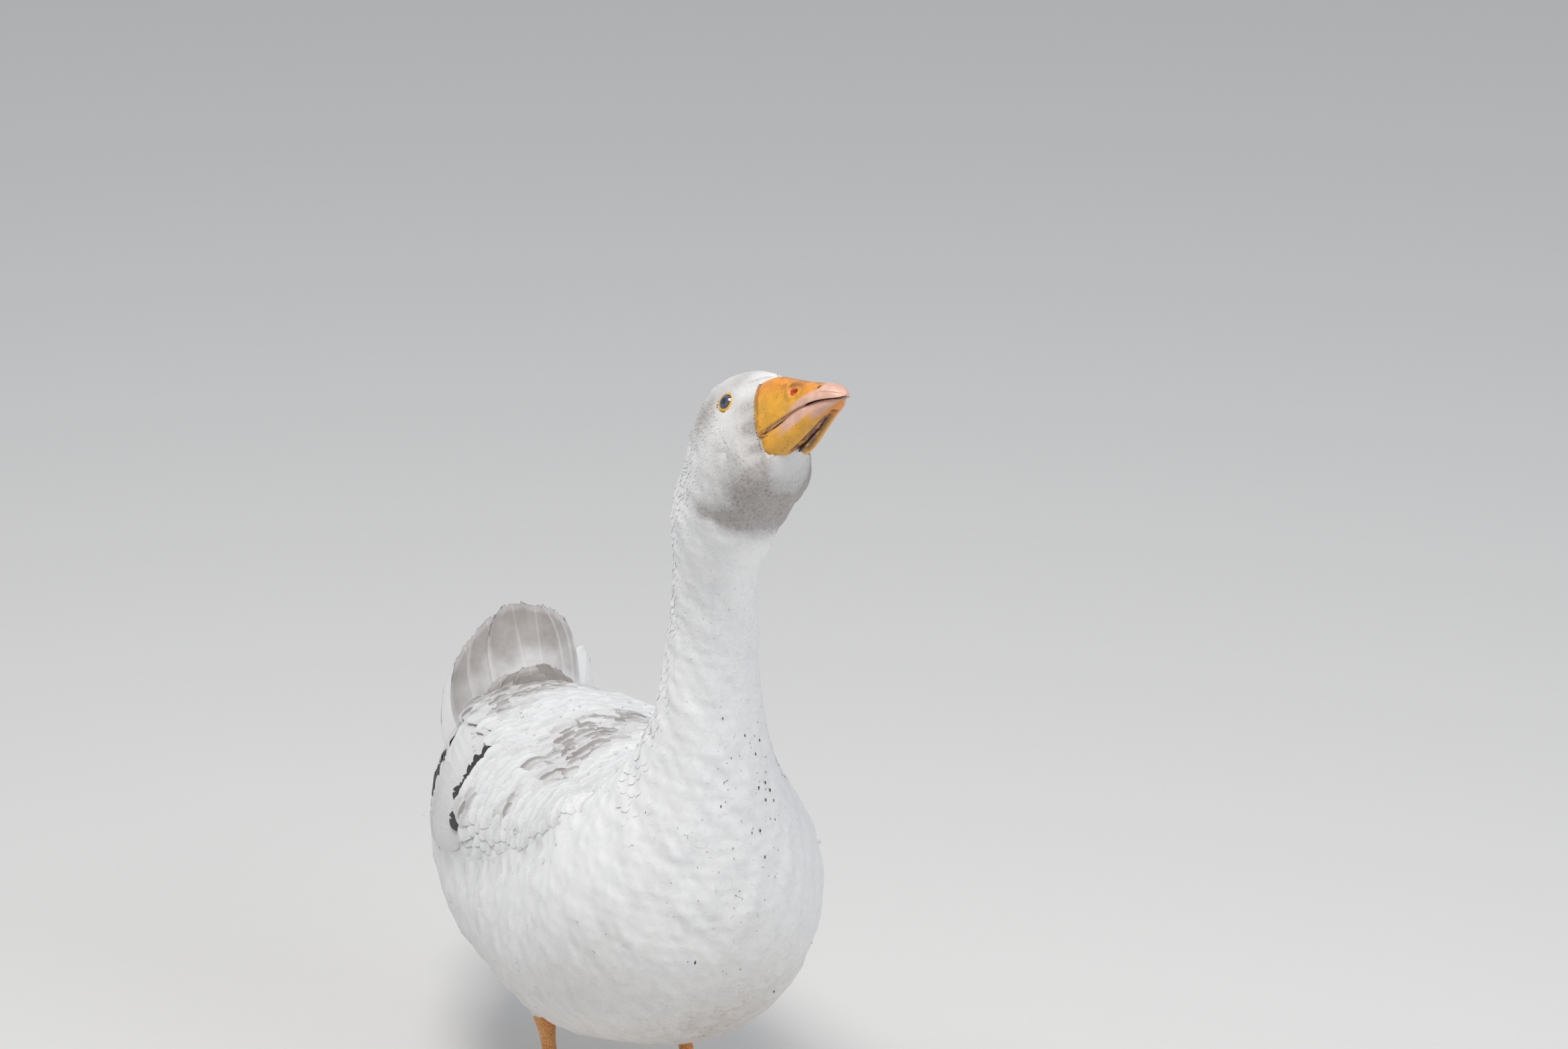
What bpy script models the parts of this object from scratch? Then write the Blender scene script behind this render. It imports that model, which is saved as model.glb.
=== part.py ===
"""Domestic goose standing with its neck raised: a life-size still model.

Units are metres and +Z is up. The goose faces -Y and its left side is +X. Its soles
lie on z = 0. Most points are worked out as (forward, height) in its middle plane and
a distance out to the side, and become world points at the end.

The trunk, neck and head are one loft through named cross-sections, parted by thin
cuts. Wings, tail, thighs, bill and eyes are set into it with a small gap all round.
"""
import math
from dataclasses import dataclass

import bpy
import numpy as np

# ---------------------------------------------------------------- driving sizes
GAP = 0.0003            # gap left between neighbouring pieces
CENTRE_FORWARD = 0.0045 # forward position that lands on the world's origin
CENTRE_OUT = 0.0        # sideways position that lands on the world's origin

EYE_HEIGHT = 0.636      # mid-point between the eyes above the floor
EYE_FORWARD = 0.190
HEAD_PITCH = math.radians(33.0)   # bill raised above the level
HEAD_YAW = math.radians(20.0)     # head turned to its left
HEAD_ROLL = math.radians(12.0)    # crown leaning to its left
TURN_BACK = 0.020       # the turn's pivot lies behind and below the eyes
TURN_DOWN = 0.045

EYE_OUT = 0.0175      # eyeball's centre from the middle of the head
EYE_RADIUS = 0.0090

BODY_SIDES = 24         # points round each cross-section
BODY_RINGS = 26
NECK_RINGS = 8
HEAD_RINGS = 12

WING_STEPS = 15
WING_ACROSS = 7
WING_BULGE = 0.0075     # how far the folded wing stands out from the trunk
WING_SINK = 0.0090      # how far it is let into it
WING_RIM = 0.0012       # half thickness at the edges
WING_REACH = 0.010      # the tips trail behind their place on the rump by this

TAIL_ROOT = (-0.172, 0.248)       # forward, height of the feathers' roots
TAIL_LENGTH = 0.128
TAIL_PITCH = math.radians(40.0)   # raised above the level
TAIL_YAW = math.radians(9.0)     # swung to its left
TAIL_SPREAD = math.radians(17.0)  # outermost feather from the middle one
TAIL_HALF_ROOT = 0.034
TAIL_ARCH = 0.044       # outer feathers lie lower by this, like a roof
TAIL_STEPS = 6
TAIL_ACROSS = 15

HIP_OUT = 0.058
HEEL = (-0.052, 0.094)            # forward, height of the heel joint
FOOT_OUT = 0.054
FOOT_FORWARD = -0.022             # joint where the toes spread
FOOT_TOE_OUT = math.radians(6.0)
ANKLE_HEIGHT = 0.0165             # top of the foot under the shank
TOE_LENGTHS = (0.064, 0.081, 0.074)             # inner, middle, outer
TOE_ANGLES = tuple(math.radians(a) for a in (-29.0, 0.0, 27.0))
TOE_HALF = 0.0052
TOE_HEIGHT = 0.0105
WEB_THICK = 0.0022
CLAW_LENGTH = 0.011


# ---------------------------------------------------------------- small maths
def smooth(t):
    """Eases a share from 0 to 1 with a level start and end."""
    t = np.clip(t, 0.0, 1.0)
    return t * t * (3.0 - 2.0 * t)


def through(knots, values, at):
    """Smooth curve through rows of values, one row for each knot."""
    knots = np.asarray(knots, float)
    values = np.asarray(values, float)
    flat = values.ndim == 1
    if flat:
        values = values[:, None]
    slopes = np.gradient(values, knots, axis=0)
    i = np.clip(np.searchsorted(knots, at, side="right") - 1, 0, len(knots) - 2)
    span = (knots[i + 1] - knots[i])[:, None]
    s = ((at - knots[i]) / span[:, 0])[:, None]
    out = ((2 * s**3 - 3 * s**2 + 1) * values[i] + (s**3 - 2 * s**2 + s) * span * slopes[i]
           + (3 * s**2 - 2 * s**3) * values[i + 1] + (s**3 - s**2) * span * slopes[i + 1])
    return out[:, 0] if flat else out


def spin(points, axis, angles):
    """Turns points about an axis through the origin, each by its own angle."""
    axis = np.asarray(axis, float) / np.linalg.norm(axis)
    c = np.cos(angles)[:, None]
    s = np.sin(angles)[:, None]
    return points * c + np.cross(axis, points) * s + axis * (points @ axis)[:, None] * (1 - c)


def world(out, forward, height):
    """World points from distances out to its left, forward and up."""
    out, forward, height = np.broadcast_arrays(out, forward, height)
    return np.stack([out - CENTRE_OUT, CENTRE_FORWARD - forward, height], -1).astype(float)


def head_profile(forward, up):
    """(forward, height) of a point given in centimetres along and across the level head."""
    c, s = math.cos(HEAD_PITCH), math.sin(HEAD_PITCH)
    return (EYE_FORWARD + (forward * c - up * s) / 100.0,
            EYE_HEIGHT + (forward * s + up * c) / 100.0)


def turned(points, share):
    """Turns neck and head points to the goose's left by a share of the full turn."""
    shape = points.shape
    points = points.reshape(-1, 3)
    share = np.broadcast_to(share, shape[:-1]).reshape(-1)
    pivot = world(0.0, EYE_FORWARD - TURN_BACK, EYE_HEIGHT - TURN_DOWN)
    bill_line = (0.0, -math.cos(HEAD_PITCH), math.sin(HEAD_PITCH))
    moved = spin(points - pivot, bill_line, -HEAD_ROLL * share)
    return (spin(moved, (0.0, 0.0, 1.0), HEAD_YAW * share) + pivot).reshape(shape)


def head_world(out, forward, up):
    """World points from centimetres out, along and above the middle of the eyes."""
    f, z = head_profile(np.asarray(forward, float), np.asarray(up, float))
    return turned(world(np.asarray(out, float) / 100.0, f, z), 1.0)


# ---------------------------------------------------------------- the body's loft
@dataclass(frozen=True)
class Station:
    """A cross-section: its top and bottom in the middle plane, and its half width."""
    name: str
    top: tuple
    bottom: tuple
    half: float
    widest: float = 0.5     # where the widest point lies, from top (0) to bottom (1)
    full: float = 1.0       # 1 is oval underneath, less is squarer
    turn: float = 0.0       # share of the head's turn


STATIONS = (
    Station("rump_end", (-0.245, 0.270), (-0.258, 0.250), 0.030),
    Station("rump", (-0.212, 0.284), (-0.255, 0.207), 0.057, 0.50, 0.90),
    Station("vent", (-0.165, 0.296), (-0.222, 0.154), 0.085, 0.55, 0.76),
    Station("hind", (-0.105, 0.305), (-0.158, 0.118), 0.104, 0.58, 0.64),
    Station("middle", (-0.035, 0.313), (-0.050, 0.108), 0.112, 0.58, 0.58),
    Station("fore", (0.022, 0.322), (0.060, 0.116), 0.113, 0.54, 0.64),
    Station("breast", (0.060, 0.336), (0.134, 0.144), 0.106, 0.46, 1.05),
    Station("chest", (0.084, 0.355), (0.173, 0.190), 0.087, 0.46, 1.10),
    Station("neck_root", (0.098, 0.382), (0.184, 0.246), 0.064, 0.50, 1.05),
    Station("neck_base", (0.107, 0.410), (0.181, 0.305), 0.0475, 0.52),
    Station("neck_low", (0.112, 0.442), (0.177, 0.369), 0.0365, 0.52),
    Station("neck_mid", (0.120, 0.489), (0.176, 0.444), 0.0300),
    Station("neck_up", (0.128, 0.536), (0.188, 0.505), 0.0300, 0.5, 1.0, 0.25),
    Station("neck_top", (0.138, 0.571), (0.214, 0.545), 0.0340, 0.5, 0.95, 0.6),
    Station("nape", head_profile(-5.1, -0.4), head_profile(-0.5, -7.3), 0.0378, 0.57, 0.85, 0.9),
    Station("occiput", head_profile(-4.0, 1.1), head_profile(0.8, -6.8), 0.0378, 0.60, 0.80, 1.0),
    Station("skull", head_profile(-1.6, 2.4), head_profile(2.1, -6.0), 0.0325, 0.62, 0.80, 1.0),
    Station("brow", head_profile(0.9, 2.2), head_profile(3.0, -5.1), 0.0232, 0.60, 0.82, 1.0),
    Station("face", head_profile(2.6, 1.5), head_profile(3.9, -4.3), 0.0150, 0.56, 0.85, 1.0),
    Station("front", head_profile(3.6, 0.9), head_profile(4.7, -3.9), 0.0115, 0.55, 0.90, 1.0),
)


class Loft:
    """The smooth tube through the stations, from the rump (0) to the front of the face (1)."""

    def __init__(self, stations):
        self.rows = np.array([[*s.top, *s.bottom, s.half, s.widest, s.full, s.turn] for s in stations])
        middle = (self.rows[:, 0:2] + self.rows[:, 2:4]) / 2.0
        steps = np.linalg.norm(np.diff(middle, axis=0), axis=1)
        self.length = steps.sum()
        self.knots = np.r_[0.0, np.cumsum(steps)] / self.length
        self.place = {s.name: k for s, k in zip(stations, self.knots)}

    def points(self, along, around, raised=0.0):
        """World points for places along the tube and angles round it from the top.

        Positive angles run down its left side. Raised points stand off the tube,
        outwards from the middle of their cross-section.
        """
        along, around, raised = np.broadcast_arrays(along, around, raised)
        shape = along.shape
        a, t, r = along.ravel(), around.ravel(), raised.ravel()
        rows = through(self.knots, self.rows, a)
        top, bottom, half, widest, full = rows[:, 0:2], rows[:, 2:4], rows[:, 4], rows[:, 5], rows[:, 6]
        centre = top + (bottom - top) * widest[:, None]
        c, s = np.cos(t), np.sin(t)
        arm = np.where(c[:, None] > 0, top - centre, centre - bottom)
        height = np.linalg.norm(arm, axis=1)
        flat = centre + arm * (c * (1.0 + r / height))[:, None]
        fullness = np.where(c < 0.0, full, 1.0)
        out = (half + r) * np.sign(s) * np.abs(s) ** fullness
        place = world(out, flat[:, 0], flat[:, 1])
        return turned(place, smooth(rows[:, 7])).reshape(*shape, 3)

    def rings(self, start, end, count, sides=BODY_SIDES):
        """A grid of rings between two places along the tube."""
        along = np.linspace(start, end, count)[:, None]
        around = np.linspace(0.0, 2.0 * math.pi, sides, endpoint=False)[None, :]
        return self.points(along, around)


BODY = Loft(STATIONS)


# ---------------------------------------------------------------- the folded wing
@dataclass(frozen=True)
class WingStation:
    """One place along the folded wing: where it lies on the body, and its two edges."""
    share: float        # from the wrist (0) to the tip (1)
    along: float        # place along the body's loft
    upper: float        # degrees round the body of the upper edge
    lower: float        # degrees round the body of the lower edge


def wing_stations():
    """The wing runs from the shoulder back along the side and up onto the rump."""
    p = BODY.place
    return (
        WingStation(0.00, 0.5 * (p["chest"] + p["breast"]), 44.0, 50.0),
        WingStation(0.09, p["breast"], 37.0, 56.0),
        WingStation(0.27, p["fore"], 30.0, 62.0),
        WingStation(0.48, p["middle"], 27.0, 74.0),
        WingStation(0.70, p["hind"], 27.0, 86.0),
        WingStation(0.88, p["vent"], 34.0, 80.0),
        WingStation(1.00, 0.7 * p["rump"] + 0.3 * p["vent"], 52.0, 62.0),
    )


def wing_points(share, across, side, face, grow=0.0):
    """Points of a folded wing.

    share runs from wrist to tip, across from the upper edge (0) to the lower (1).
    face is 1 on the outer side and -1 on the side let into the trunk.
    """
    stations = wing_stations()
    table = np.array([[s.along, math.radians(s.upper), math.radians(s.lower)] for s in stations])
    rows = through([s.share for s in stations], table, share.ravel())
    v = across.ravel()
    angle = rows[:, 1] * (1 - v) + rows[:, 2] * v
    arch = np.sin(math.pi * np.clip(v, 0.0, 1.0)) ** 0.7
    ends = np.clip(np.minimum(share.ravel() / 0.12, (1.0 - share.ravel()) / 0.30), 0.0, 1.0) ** 0.6
    depth = WING_BULGE if face > 0 else WING_SINK
    raised = face * (WING_RIM + grow + depth * arch * ends) + (WING_RIM if face > 0 else 0.0)
    place = BODY.points(rows[:, 0], side * angle, raised)
    back = smooth((share.ravel() - 0.72) / 0.28)
    place[:, 1] += WING_REACH * back
    place[:, 2] += 0.004 * back
    return place.reshape(*share.shape, 3)


# ---------------------------------------------------------------- the tail's fan
def tail_points(reach, across, face, grow=0.0):
    """Points of the raised tail.

    reach runs from the feathers' roots (0) to their tips (1), across from the right
    edge (-1) to the left edge (1). face is 1 on the upper side and -1 beneath.
    """
    shape = reach.shape
    r, a = reach.ravel(), across.ravel()
    axis = np.array([math.sin(TAIL_YAW) * math.cos(TAIL_PITCH),
                     math.cos(TAIL_YAW) * math.cos(TAIL_PITCH), math.sin(TAIL_PITCH)])
    beside = np.array([math.cos(TAIL_YAW), -math.sin(TAIL_YAW), 0.0])
    above = np.cross(beside, axis)
    length = TAIL_LENGTH * (1.0 - 0.26 * a**2) * r
    angle = TAIL_SPREAD * a
    sideways = TAIL_HALF_ROOT * a + np.sin(angle) * length
    onward = np.cos(angle) * length
    drop = TAIL_ARCH * a**2 * (0.35 + 0.65 * r)
    half = 0.0055 * (1 - r) ** 1.5 * (1 - a**2) + 0.0009
    lift = face * (half + grow) - drop + 0.012 * r**2
    root = world(0.0, *TAIL_ROOT)
    return (root + onward[:, None] * axis + sideways[:, None] * beside
            + lift[:, None] * above).reshape(*shape, 3)


# ---------------------------------------------------------------- the bill
#            forward  top    edge   half   (centimetres in the head's frame)
UPPER_BILL = ((2.35, 1.10, -2.78, 1.90),
              (3.60, 0.88, -2.58, 1.78),
              (5.00, 0.24, -2.36, 1.52),
              (6.60, -0.52, -2.22, 1.30),
              (8.00, -1.12, -2.28, 1.14),
              (9.10, -1.62, -2.50, 0.84),
              (9.75, -2.12, -2.66, 0.34))
#            forward  top    bottom half
LOWER_BILL = ((2.60, -2.98, -4.22, 1.84),
              (4.20, -2.80, -3.95, 1.54),
              (5.80, -2.66, -3.62, 1.24),
              (7.40, -2.62, -3.25, 1.00),
              (8.70, -2.76, -3.02, 0.64),
              (9.20, -2.86, -2.94, 0.30))


def upper_bill_rings(count, grow=0.0):
    """Rings of the upper bill: an arch over a nearly level palate."""
    table = np.array(UPPER_BILL)
    f = np.linspace(table[0, 0], table[-1, 0], count)
    rows = through(table[:, 0], table[:, 1:], f)
    phi = np.linspace(-0.5 * math.pi, 0.5 * math.pi, 11)
    over_x, over_u = np.sin(phi), np.cos(phi) ** 0.85
    under_x = np.linspace(1.0, -1.0, 6)[1:-1]
    ring_x = np.r_[over_x, under_x]
    top, edge, half = rows[:, 0:1], rows[:, 1:2], rows[:, 2:3]
    g = grow * 100.0
    up = np.concatenate([edge - g + (top - edge + 2 * g) * over_u[None, :],
                         edge - g + 0.0 * under_x[None, :]], 1)
    out = (half + g) * ring_x[None, :]
    forward = np.repeat(f[:, None], len(ring_x), 1)
    forward[0] -= g
    return head_world(out, forward, up)


def lower_bill_rings(count, grow=0.0):
    """Rings of the lower bill: flat on top and rounded beneath."""
    table = np.array(LOWER_BILL)
    f = np.linspace(table[0, 0], table[-1, 0], count)
    rows = through(table[:, 0], table[:, 1:], f)
    phi = np.linspace(0.5 * math.pi, -0.5 * math.pi, 9)
    under_x, under_u = np.sin(phi), np.cos(phi) ** 0.5
    over_x = np.linspace(-1.0, 1.0, 6)[1:-1]
    ring_x = np.r_[over_x, under_x]
    top, bottom, half = rows[:, 0:1], rows[:, 1:2], rows[:, 2:3]
    g = grow * 100.0
    up = np.concatenate([top + g + 0.0 * over_x[None, :],
                         top + g - (top - bottom + 2 * g) * under_u[None, :]], 1)
    out = (half + g) * ring_x[None, :]
    forward = np.repeat(f[:, None], len(ring_x), 1)
    forward[0] -= g
    return head_world(out, forward, up)


# ---------------------------------------------------------------- legs and feet
def thigh_rings(side, grow=0.0):
    """Level rings from inside the body down to just above the heel."""
    shares = np.array([0.0, 0.25, 0.5, 0.72, 0.88, 1.0])
    height = 0.182 + (HEEL[1] + GAP - 0.182) * shares - grow * (shares == 1.0)
    forward = 0.004 + (HEEL[0] - 0.004) * smooth(shares * 0.9 + 0.05) ** 1.1
    out = HIP_OUT + (FOOT_OUT - HIP_OUT) * shares
    deep = through([0.0, 0.35, 0.65, 0.88, 1.0], [0.034, 0.040, 0.026, 0.0135, 0.0108], shares) + grow
    wide = through([0.0, 0.35, 0.65, 0.88, 1.0], [0.024, 0.029, 0.021, 0.0115, 0.0092], shares) + grow
    return level_rings(height, forward, side * out, deep, wide, 14)


def shank_rings(side):
    """Level rings from the knobby heel to the top of the foot."""
    shares = np.array([0.0, 0.1, 0.25, 0.55, 0.85, 1.0])
    height = HEEL[1] + (ANKLE_HEIGHT + GAP - HEEL[1]) * shares
    forward = HEEL[0] + (FOOT_FORWARD - HEEL[0]) * shares
    knob = np.exp(-(shares / 0.16) ** 2)
    spread = np.exp(-((shares - 1.0) / 0.18) ** 2)
    deep = 0.0068 + 0.0042 * knob + 0.0020 * spread
    wide = 0.0052 + 0.0034 * knob + 0.0030 * spread
    return level_rings(height, forward, side * FOOT_OUT, deep, wide, 12)


def level_rings(height, forward, out, deep, wide, sides):
    """A grid of level ovals with the given centres and half sizes."""
    t = np.linspace(0.0, 2.0 * math.pi, sides, endpoint=False)[None, :]
    h, f = np.asarray(height)[:, None], np.asarray(forward)[:, None]
    d, w = np.asarray(deep)[:, None], np.asarray(wide)[:, None]
    o = np.broadcast_to(out, np.shape(height))[:, None]
    return world(o + w * np.sin(t), f + d * np.cos(t), h + 0.0 * t)


def foot_place(side, onward, beside, height):
    """World points on a foot, from distances along and outwards of its middle toe."""
    c, s = math.cos(FOOT_TOE_OUT), math.sin(FOOT_TOE_OUT)
    out = FOOT_OUT + onward * s + beside * c
    forward = FOOT_FORWARD + onward * c - beside * s
    return world(side * out, forward, height)


@dataclass(frozen=True)
class FootLine:
    """A line over the foot from the joint outwards: along a toe's back or over the web."""
    angle: float
    offset: float       # beside the toe's middle
    length: float
    height: float


def foot_lines():
    """Four lines over each toe and two over each web, from the inner to the outer side."""
    lines = []
    for i, (length, angle) in enumerate(zip(TOE_LENGTHS, TOE_ANGLES)):
        for share, height in ((-1.0, WEB_THICK), (-0.45, TOE_HEIGHT), (0.45, TOE_HEIGHT),
                              (1.0, WEB_THICK)):
            lines.append(FootLine(angle, share * TOE_HALF, length - 0.002 * abs(share), height))
        if i < 2:
            reach = 0.5 * (length + TOE_LENGTHS[i + 1])
            for share in (0.33, 0.67):
                between = angle + (TOE_ANGLES[i + 1] - angle) * share
                sag = 1.0 - 0.20 * math.sin(math.pi * share)
                lines.append(FootLine(between, 0.0, reach * sag, WEB_THICK))
    return lines


def foot_grids(side):
    """Upper and lower grids of a webbed foot, flat underneath."""
    lines = foot_lines()
    r = np.array([-0.11, 0.04, 0.17, 0.32, 0.55, 0.80, 1.0])[None, :]
    angle = np.array([q.angle for q in lines])[:, None]
    offset = np.array([q.offset for q in lines])[:, None]
    length = np.array([q.length for q in lines])[:, None]
    height = np.array([q.height for q in lines])[:, None]
    reach = length * r
    fan = 0.30 + 0.70 * smooth(r / 0.30)
    rank = np.linspace(-1.0, 1.0, len(lines))[:, None]
    gather = 1.0 - smooth((r + 0.11) / 0.40)
    beside = (np.sin(angle) * np.maximum(reach, 0.0) + np.cos(angle) * offset * fan) + 0.0085 * rank * gather
    onward = np.cos(angle) * reach - np.sin(angle) * offset * fan
    knob = (ANKLE_HEIGHT - 0.0006) * np.exp(-(reach / 0.013) ** 2) * (1.0 - 0.35 * rank**2)
    toe = height * (1.0 - 0.30 * np.clip(r, 0.0, 1.0) ** 3)
    top = np.maximum(np.where(r < 0.12, toe * 0.9 + 0.001, toe), knob)
    upper = foot_place(side, onward, beside, top)
    lower = foot_place(side, onward, beside, 0.0 * top)
    return upper, lower


def hallux_rings(side):
    """The small hind toe, low at the back on the inner side."""
    s = np.linspace(0.0, 1.0, 4)
    forward = FOOT_FORWARD - 0.0105 - 0.019 * s
    out = FOOT_OUT - 0.004 - 0.006 * s
    height = 0.0135 - 0.0085 * s
    half = 0.0040 - 0.0010 * s
    return bent_rings(side * out, forward, height, half, half, 8)


def claw_rings(side, onward, beside, height, heading, length, drop):
    """A tapered, slightly hooked claw that starts a gap beyond its toe."""
    s = np.linspace(0.0, 1.0, 4)
    start = GAP + length * s
    o = onward + np.cos(heading) * start
    b = beside + np.sin(heading) * start
    centre = foot_place(side, o, b, height - drop * s**2)
    half = 0.0029 * (1.0 - s) ** 0.8 + 0.0004
    return bent_rings(centre[:, 0] + CENTRE_OUT, CENTRE_FORWARD - centre[:, 1], centre[:, 2],
                      half, half * 0.85, 6)


def bent_rings(out, forward, height, wide, tall, sides):
    """Rings square to a bent centre line given in out, forward and height."""
    line = world(out, forward, height)
    run = np.gradient(line, axis=0)
    run /= np.linalg.norm(run, axis=1, keepdims=True)
    beside = np.cross(run, (0.0, 0.0, 1.0))
    beside /= np.linalg.norm(beside, axis=1, keepdims=True)
    above = np.cross(beside, run)
    t = np.linspace(0.0, 2.0 * math.pi, sides, endpoint=False)[None, :, None]
    return (line[:, None] + np.cos(t) * beside[:, None] * np.asarray(wide)[:, None, None]
            + np.sin(t) * above[:, None] * np.asarray(tall)[:, None, None])


# ---------------------------------------------------------------- meshes
def finish_mesh(name, verts, faces, material):
    """Adds one closed mesh to the scene, with its normals facing out."""
    mesh = bpy.data.meshes.new(name)
    mesh.from_pydata([tuple(v) for v in verts], [], faces)
    mesh.validate()
    mesh.materials.append(material)
    obj = bpy.data.objects.new(name, mesh)
    bpy.context.scene.collection.objects.link(obj)
    volume = 0.0
    mesh.calc_loop_triangles()
    for t in mesh.loop_triangles:
        a, b, c = (mesh.vertices[i].co for i in t.vertices)
        volume += a.dot(b.cross(c))
    if volume < 0.0:
        mesh.flip_normals()
    return obj


def tube(name, rings, material):
    """A closed tube through a grid of rings, with a fan over each end."""
    count, sides = rings.shape[:2]
    verts = list(rings.reshape(-1, 3)) + [rings[0].mean(0), rings[-1].mean(0)]
    first, last = count * sides, count * sides + 1
    faces = []
    for i in range(count - 1):
        for j in range(sides):
            k = (j + 1) % sides
            a, b = i * sides + j, i * sides + k
            c, d = (i + 1) * sides + k, (i + 1) * sides + j
            faces += [(a, b, c), (a, c, d)]
    for j in range(sides):
        k = (j + 1) % sides
        faces.append((first, k, j))
        faces.append((last, (count - 1) * sides + j, (count - 1) * sides + k))
    return finish_mesh(name, verts, faces, material)


def slab(name, upper, lower, material):
    """A closed slab between two grids of the same shape."""
    rows, cols = upper.shape[:2]
    verts = list(upper.reshape(-1, 3)) + list(lower.reshape(-1, 3))
    under = rows * cols

    def at(i, j, base=0):
        return base + i * cols + j

    faces = []
    for i in range(rows - 1):
        for j in range(cols - 1):
            a, b, c, d = at(i, j), at(i, j + 1), at(i + 1, j + 1), at(i + 1, j)
            faces += [(a, b, c), (a, c, d)]
            faces += [(under + a, under + c, under + b), (under + a, under + d, under + c)]
    edge = ([(0, j) for j in range(cols)] + [(i, cols - 1) for i in range(1, rows)]
            + [(rows - 1, j) for j in range(cols - 2, -1, -1)] + [(i, 0) for i in range(rows - 2, 0, -1)])
    for n, (i, j) in enumerate(edge):
        k, m = edge[(n + 1) % len(edge)]
        a, b = at(i, j), at(k, m)
        faces += [(a, under + a, under + b), (a, under + b, b)]
    return finish_mesh(name, verts, faces, material)


def ball(name, centre, radius, material, sides=12, rings=7):
    """A closed ball."""
    t = np.linspace(0.0, 2.0 * math.pi, sides, endpoint=False)[None, :]
    p = np.linspace(0.0, math.pi, rings + 2)[1:-1, None]
    grid = np.stack([np.sin(p) * np.cos(t), np.sin(p) * np.sin(t), np.cos(p) + 0.0 * t], -1)
    obj = tube(name, centre + radius * grid, material)
    for index, tip in ((rings * sides, 1.0), (rings * sides + 1, -1.0)):
        obj.data.vertices[index].co = centre + np.array([0.0, 0.0, tip * radius])
    return obj


def material(name, colour, roughness):
    """A plain Principled finish."""
    mat = bpy.data.materials.new(name)
    mat.use_nodes = True
    shader = mat.node_tree.nodes["Principled BSDF"]
    shader.inputs["Base Color"].default_value = (*colour, 1.0)
    shader.inputs["Roughness"].default_value = roughness
    shader.inputs["Metallic"].default_value = 0.0
    mat.diffuse_color = (*colour, 1.0)
    return mat


def let_in(body, cutter):
    """Cuts the room for a neighbouring piece out of a body."""
    cutter.hide_render = True
    cutter.display_type = "WIRE"
    cut = body.modifiers.new("room_for_" + cutter.name, "BOOLEAN")
    cut.operation = "DIFFERENCE"
    cut.solver = "EXACT"
    cut.object = cutter


SIDES = (("left", 1.0), ("right", -1.0))


def build_body(mats):
    """Trunk, two neck pieces and head, with the rooms for the parts set into them."""
    p = BODY.place
    half_gap = 0.5 * GAP / BODY.length
    cuts = (0.0,
            0.5 * (p["neck_root"] + p["neck_base"]),
            p["neck_mid"],
            p["nape"],
            1.0)
    names = ("trunk", "neck_lower", "neck_upper", "head")
    counts = (BODY_RINGS, NECK_RINGS, NECK_RINGS, HEAD_RINGS)
    bodies = {}
    for i, name in enumerate(names):
        start = cuts[i] + (half_gap if i else 0.0)
        end = cuts[i + 1] - (half_gap * 1.6 if i < 3 else 0.0)
        bodies[name] = tube(name, BODY.rings(start, end, counts[i]), mats[name])
    return bodies


def build_wings(trunk, mats):
    """The folded wings, let into the sides of the trunk."""
    share, across = np.meshgrid(np.linspace(0.0, 1.0, WING_STEPS), np.linspace(0.0, 1.0, WING_ACROSS),
                                indexing="ij")
    for word, side in SIDES:
        slab("wing_" + word, wing_points(share, across, side, 1), wing_points(share, across, side, -1),
             mats["wing"])
        wide_across = np.clip(across, 0.0, 1.0)
        wide_across[:, 0] -= 0.012
        wide_across[:, -1] += 0.012
        wide_share = share.copy()
        wide_share[0] -= 0.006
        grown = 1.4 * GAP
        cutter = slab("room_wing_" + word,
                      wing_points(wide_share, wide_across, side, 1, grown + 0.001),
                      wing_points(wide_share, wide_across, side, -1, grown), mats["wing"])
        let_in(trunk, cutter)


def build_tail(trunk, mats):
    """The raised fan of tail feathers, rooted in the rump."""
    reach, across = np.meshgrid(np.linspace(0.0, 1.0, TAIL_STEPS), np.linspace(-1.0, 1.0, TAIL_ACROSS),
                                indexing="ij")
    slab("tail", tail_points(reach, across, 1), tail_points(reach, across, -1), mats["tail"])
    wide_reach, wide_across = reach.copy(), across.copy()
    wide_reach[0] -= 0.006
    wide_across[:, 0] -= 0.02
    wide_across[:, -1] += 0.02
    grown = 1.5 * GAP
    let_in(trunk, slab("room_tail", tail_points(wide_reach, wide_across, 1, grown),
                       tail_points(wide_reach, wide_across, -1, grown), mats["tail"]))


def build_head_parts(head, mats):
    """Bill and eyes, set into the head."""
    tube("bill_upper", upper_bill_rings(11), mats["bill"])
    tube("bill_lower", lower_bill_rings(9), mats["bill"])
    let_in(head, tube("room_bill_upper", upper_bill_rings(11, GAP), mats["bill"]))
    let_in(head, tube("room_bill_lower", lower_bill_rings(9, GAP), mats["bill"]))
    for word, side in SIDES:
        centre = head_world(side * EYE_OUT * 100.0, 0.0, 0.15)
        ball("eye_" + word, centre, EYE_RADIUS, mats["eye"])
        let_in(head, ball("room_eye_" + word, centre, EYE_RADIUS + 1.5 * GAP, mats["eye"]))


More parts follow.
